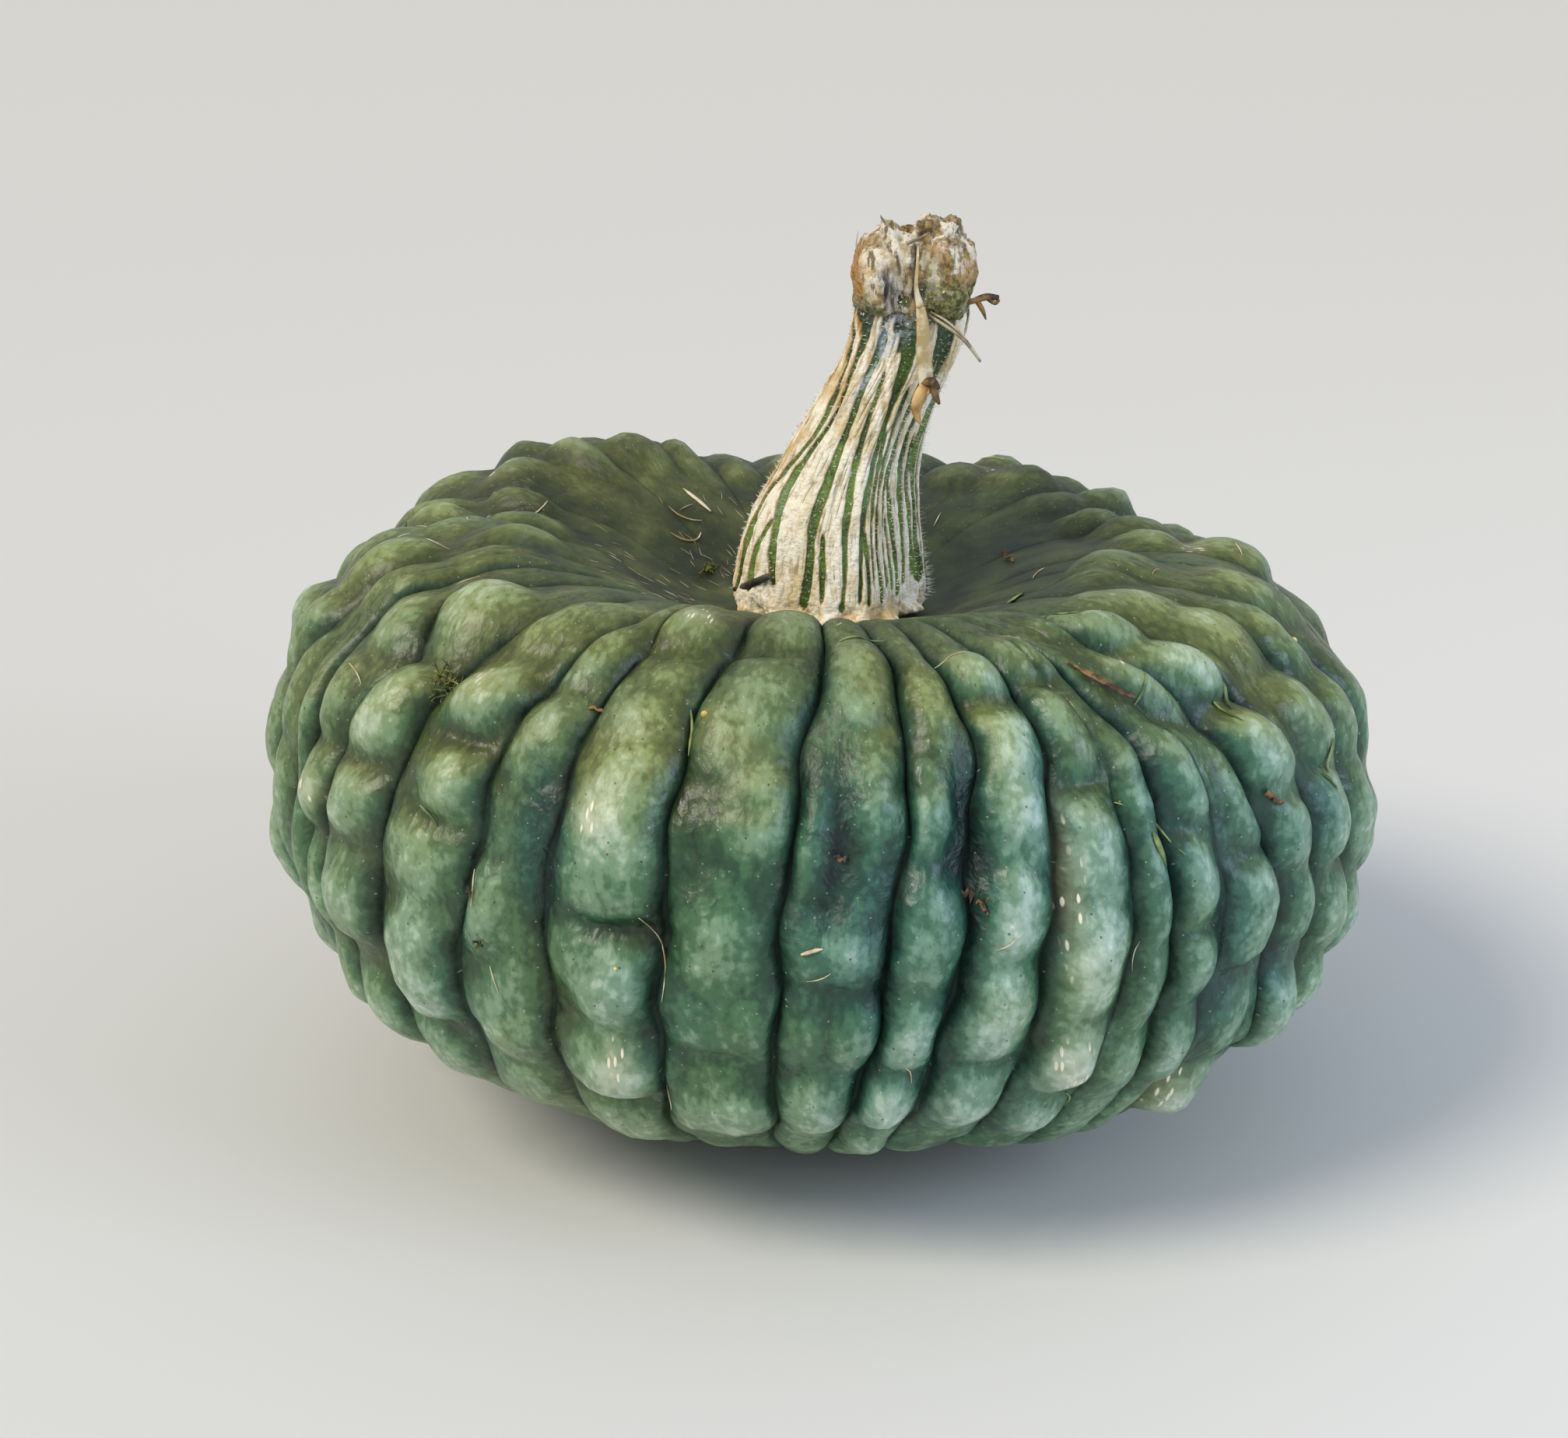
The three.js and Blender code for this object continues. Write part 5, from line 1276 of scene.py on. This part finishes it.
def laid(azimuth, way, heading, length, width, bend, thickness):
    """A blade or straw that follows the rind."""
    path = []
    radius = float(meridian(way / 100)[0])
    at = np.array([azimuth, way / 100])
    steps = 7
    for i in range(steps):
        path.append(at.copy())
        course = math.radians(heading + bend * (i / (steps - 1) - 0.5))
        step = length / (steps - 1)
        at += [math.degrees(step * math.cos(course) / radius), step * math.sin(course) / MERIDIAN_LENGTH]
    spots = [on_rind(a, w, 0.25 + 0.5 * width * thickness) for a, w in path]
    # A stiff straw bridges the creases: its ends sink in and its middle is eased out.
    points = np.array([list(spot[0]) for spot in spots])
    eased = points.copy()
    eased[1:-1] = (points[:-2] + points[1:-1] + points[2:]) / 3
    widths = [0.5 * width, width, width, 0.9 * width, 0.25 * width]
    return strand(eased, widths, thickness, 6, 0.3, spots[steps // 2][1])


def chip(azimuth, way, heading, length, width, seed):
    """A bit of husk: a curled, torn plate."""
    middle, out = on_rind(azimuth, way / 100, 0.5)
    across = Vector((math.cos(math.radians(azimuth)), math.sin(math.radians(azimuth)), 0))
    down = across.cross(out)
    if down.z > 0:
        down = -down
    along = across * math.cos(math.radians(heading)) + down * math.sin(math.radians(heading))
    over = along.cross(out)
    count, sides = 9, 8
    rings = []
    for i in range(count):
        s = i / (count - 1)
        torn = 0.35 + 0.65 * draw(seed * 31 + i)
        half = 0.5 * width * torn * math.sin(math.pi * (0.08 + 0.84 * s)) ** 0.5
        centre = middle + along * (length * (s - 0.5)) + out * (0.9 * draw(seed * 17 + i) + 0.6 * s * s)
        centre += over * (0.5 * (draw(seed * 13 + i) - 0.5) * width)
        for j in range(sides):
            a = 2 * math.pi * j / sides
            curl = 0.35 * math.cos(a) ** 2
            rings.append(centre + over * (half * math.cos(a)) + out * (0.35 * math.sin(a) + curl * half))
    return np.array(rings), capped_faces(count, sides)


def bead(azimuth, way, size):
    """A drop of gum, round and a little sunk."""
    centre, out = on_rind(azimuth, way / 100, 0)
    side = out.orthogonal().normalized()
    other = out.cross(side)
    latitudes, sides = (-0.5, 0, 0.5, 1.0, 1.4), 10
    rings = [
        centre + (side * math.cos(a) + other * math.sin(a)) * size * math.cos(b) + out * size * math.sin(b)
        for b in latitudes for a in np.linspace(0, 2 * math.pi, sides, endpoint=False)
    ]
    return np.array(rings), capped_faces(len(latitudes), sides)


def make_scraps():
    """Straw, wilted grass, husk, moss and gum, each kind as one piece."""
    straws = [laid(*straw) for straw in STRAWS]
    grasses = [laid(*blade) for blade in GRASSES]
    # A few more straws, thin and short, anywhere above the widest part.
    for n in range(26):
        straws.append(laid(
            360 * draw(n + 600), 14 + 36 * draw(n + 640), 180 * draw(n + 680), 3 + 6 * draw(n + 720), 0.28,
            50 * draw(n + 760), 1))
    # Fine pale hairs comb outwards from the foot of the stem.
    for n in range(90):
        straws.append(laid(
            -170 + 130 * draw(n + 4100), 8 + 9 * draw(n + 4300) ** 1.5, 90 + 70 * (draw(n + 4500) - 0.5),
            2 + 3.5 * draw(n + 4700), 0.1, 40 * (draw(n + 4900) - 0.5), 1))
    moss = []
    for number, (azimuth, way, strands, reach) in enumerate(TUFTS):
        for n in range(strands):
            seed = 100 * number + n
            spread, turn = reach * draw(seed + 2000) ** 0.7, 2 * math.pi * draw(seed + 2300)
            radius = float(meridian(way / 100)[0])
            root, out = on_rind(azimuth + math.degrees(0.45 * spread * math.cos(turn) / radius),
                                way / 100 + 0.45 * spread * math.sin(turn) / MERIDIAN_LENGTH, 0)
            lean = Vector((draw(seed + 1) - 0.5, draw(seed + 2) - 0.5, draw(seed + 3) - 0.5)) * 2.2
            tip = root + (out * 0.7 + lean).normalized() * (0.35 + 0.5 * draw(seed + 4)) * reach
            bent = (root + tip) / 2 + Vector((draw(seed + 5) - 0.5, draw(seed + 6) - 0.5, 0.3)) * 0.35 * reach
            moss.append(strand([list(root), list(bent), list(tip)], [0.5, 0.45, 0.15], 0.7, 4))
    chips = [chip(*bit, seed) for seed, bit in enumerate(BITS)]
    beads = [bead(*place) for place in BEADS]
    kinds = (
        ("straw", straws, STRAW), ("grass", grasses, GRASS), ("moss", moss, MOSS), ("husk", chips, HUSK),
        ("gum", beads, GUM),
    )
    for name, parts, material in kinds:
        points, faces = gather(parts)
        make_piece(name, points, faces, material, "rind")


rind = make_rind()
RIND_SURFACE = BVHTree.FromPolygons(
    [v.co / MM for v in rind.data.vertices], [p.vertices for p in rind.data.polygons])
make_scraps()
make_stalk()
make_cut_end()
make_stem_scraps()
make_stem_hairs()


# Floor, light and camera

def make_floor():
    """A plain pale floor, in metres."""
    mesh = bpy.data.meshes.new("floor")
    reach = 4.0
    corners = [(-reach, -reach, 0), (reach, -reach, 0), (reach, reach, 0), (-reach, reach, 0)]
    mesh.from_pydata(corners, [], [[0, 1, 2, 3]])
    material, tree = new_material("pale_floor")
    shader = add(tree, "ShaderNodeBsdfPrincipled", {"Base Color": linear("#d9d8d4"), "Roughness": 0.7})
    add(tree, "ShaderNodeOutputMaterial", {"Surface": shader})
    mesh.materials.append(material)
    floor = bpy.data.objects.new("floor", mesh)
    bpy.context.scene.collection.objects.link(floor)


def add_light(name, kind, place, direction, strength, colour, **settings):
    """A light that shines along a direction."""
    data = bpy.data.lights.new(name, kind)
    data.energy = strength
    data.color = linear(colour)[:3]
    for key, value in settings.items():
        setattr(data, key, value)
    lamp = bpy.data.objects.new(name, data)
    lamp.location = place
    lamp.rotation_euler = Vector(direction).to_track_quat("-Z", "Y").to_euler()
    bpy.context.scene.collection.objects.link(lamp)


# The photograph's view: the lens in pixels of a frame this wide, how far it looks down, and where it stands.
LENS_LENGTH = 3900
FRAME_WIDTH = 2015
LOOKS_DOWN = 18.5
CAMERA_PLACE = np.array([-11.0, -837.0, 387.0])


def make_camera():
    """The camera, level from side to side, with no shift and everything in focus."""
    data = bpy.data.cameras.new("camera")
    data.sensor_fit = "HORIZONTAL"
    data.sensor_width = 36.0
    data.lens = LENS_LENGTH / FRAME_WIDTH * data.sensor_width
    camera = bpy.data.objects.new("camera", data)
    camera.location = ((CAMERA_PLACE + AXIS) * MM).tolist()
    camera.rotation_euler = (math.radians(90 - LOOKS_DOWN), 0, 0)
    bpy.context.scene.collection.objects.link(camera)
    bpy.context.scene.camera = camera


make_floor()
# Warm light from the left, softly spread, and a weak cool fill from the right that faces the fruit's middle.
add_light(
    "window_left", "SUN", (0, 0, 0), (0.85, 0.55, -1.0), 2.25, "#fff5e6", angle=math.radians(26))
add_light(
    "window_right", "AREA", (1.25, -0.75, 0.7), (-1.25, 0.75, -0.62), 11, "#cfe0ff", shape="DISK", size=0.9)
world = bpy.data.worlds.new("room")
world.use_nodes = True
world.node_tree.nodes["Background"].inputs["Color"].default_value = linear("#e4ebf4")
world.node_tree.nodes["Background"].inputs["Strength"].default_value = 0.62
bpy.context.scene.world = world
bpy.context.scene.view_settings.view_transform = "Standard"
make_camera()
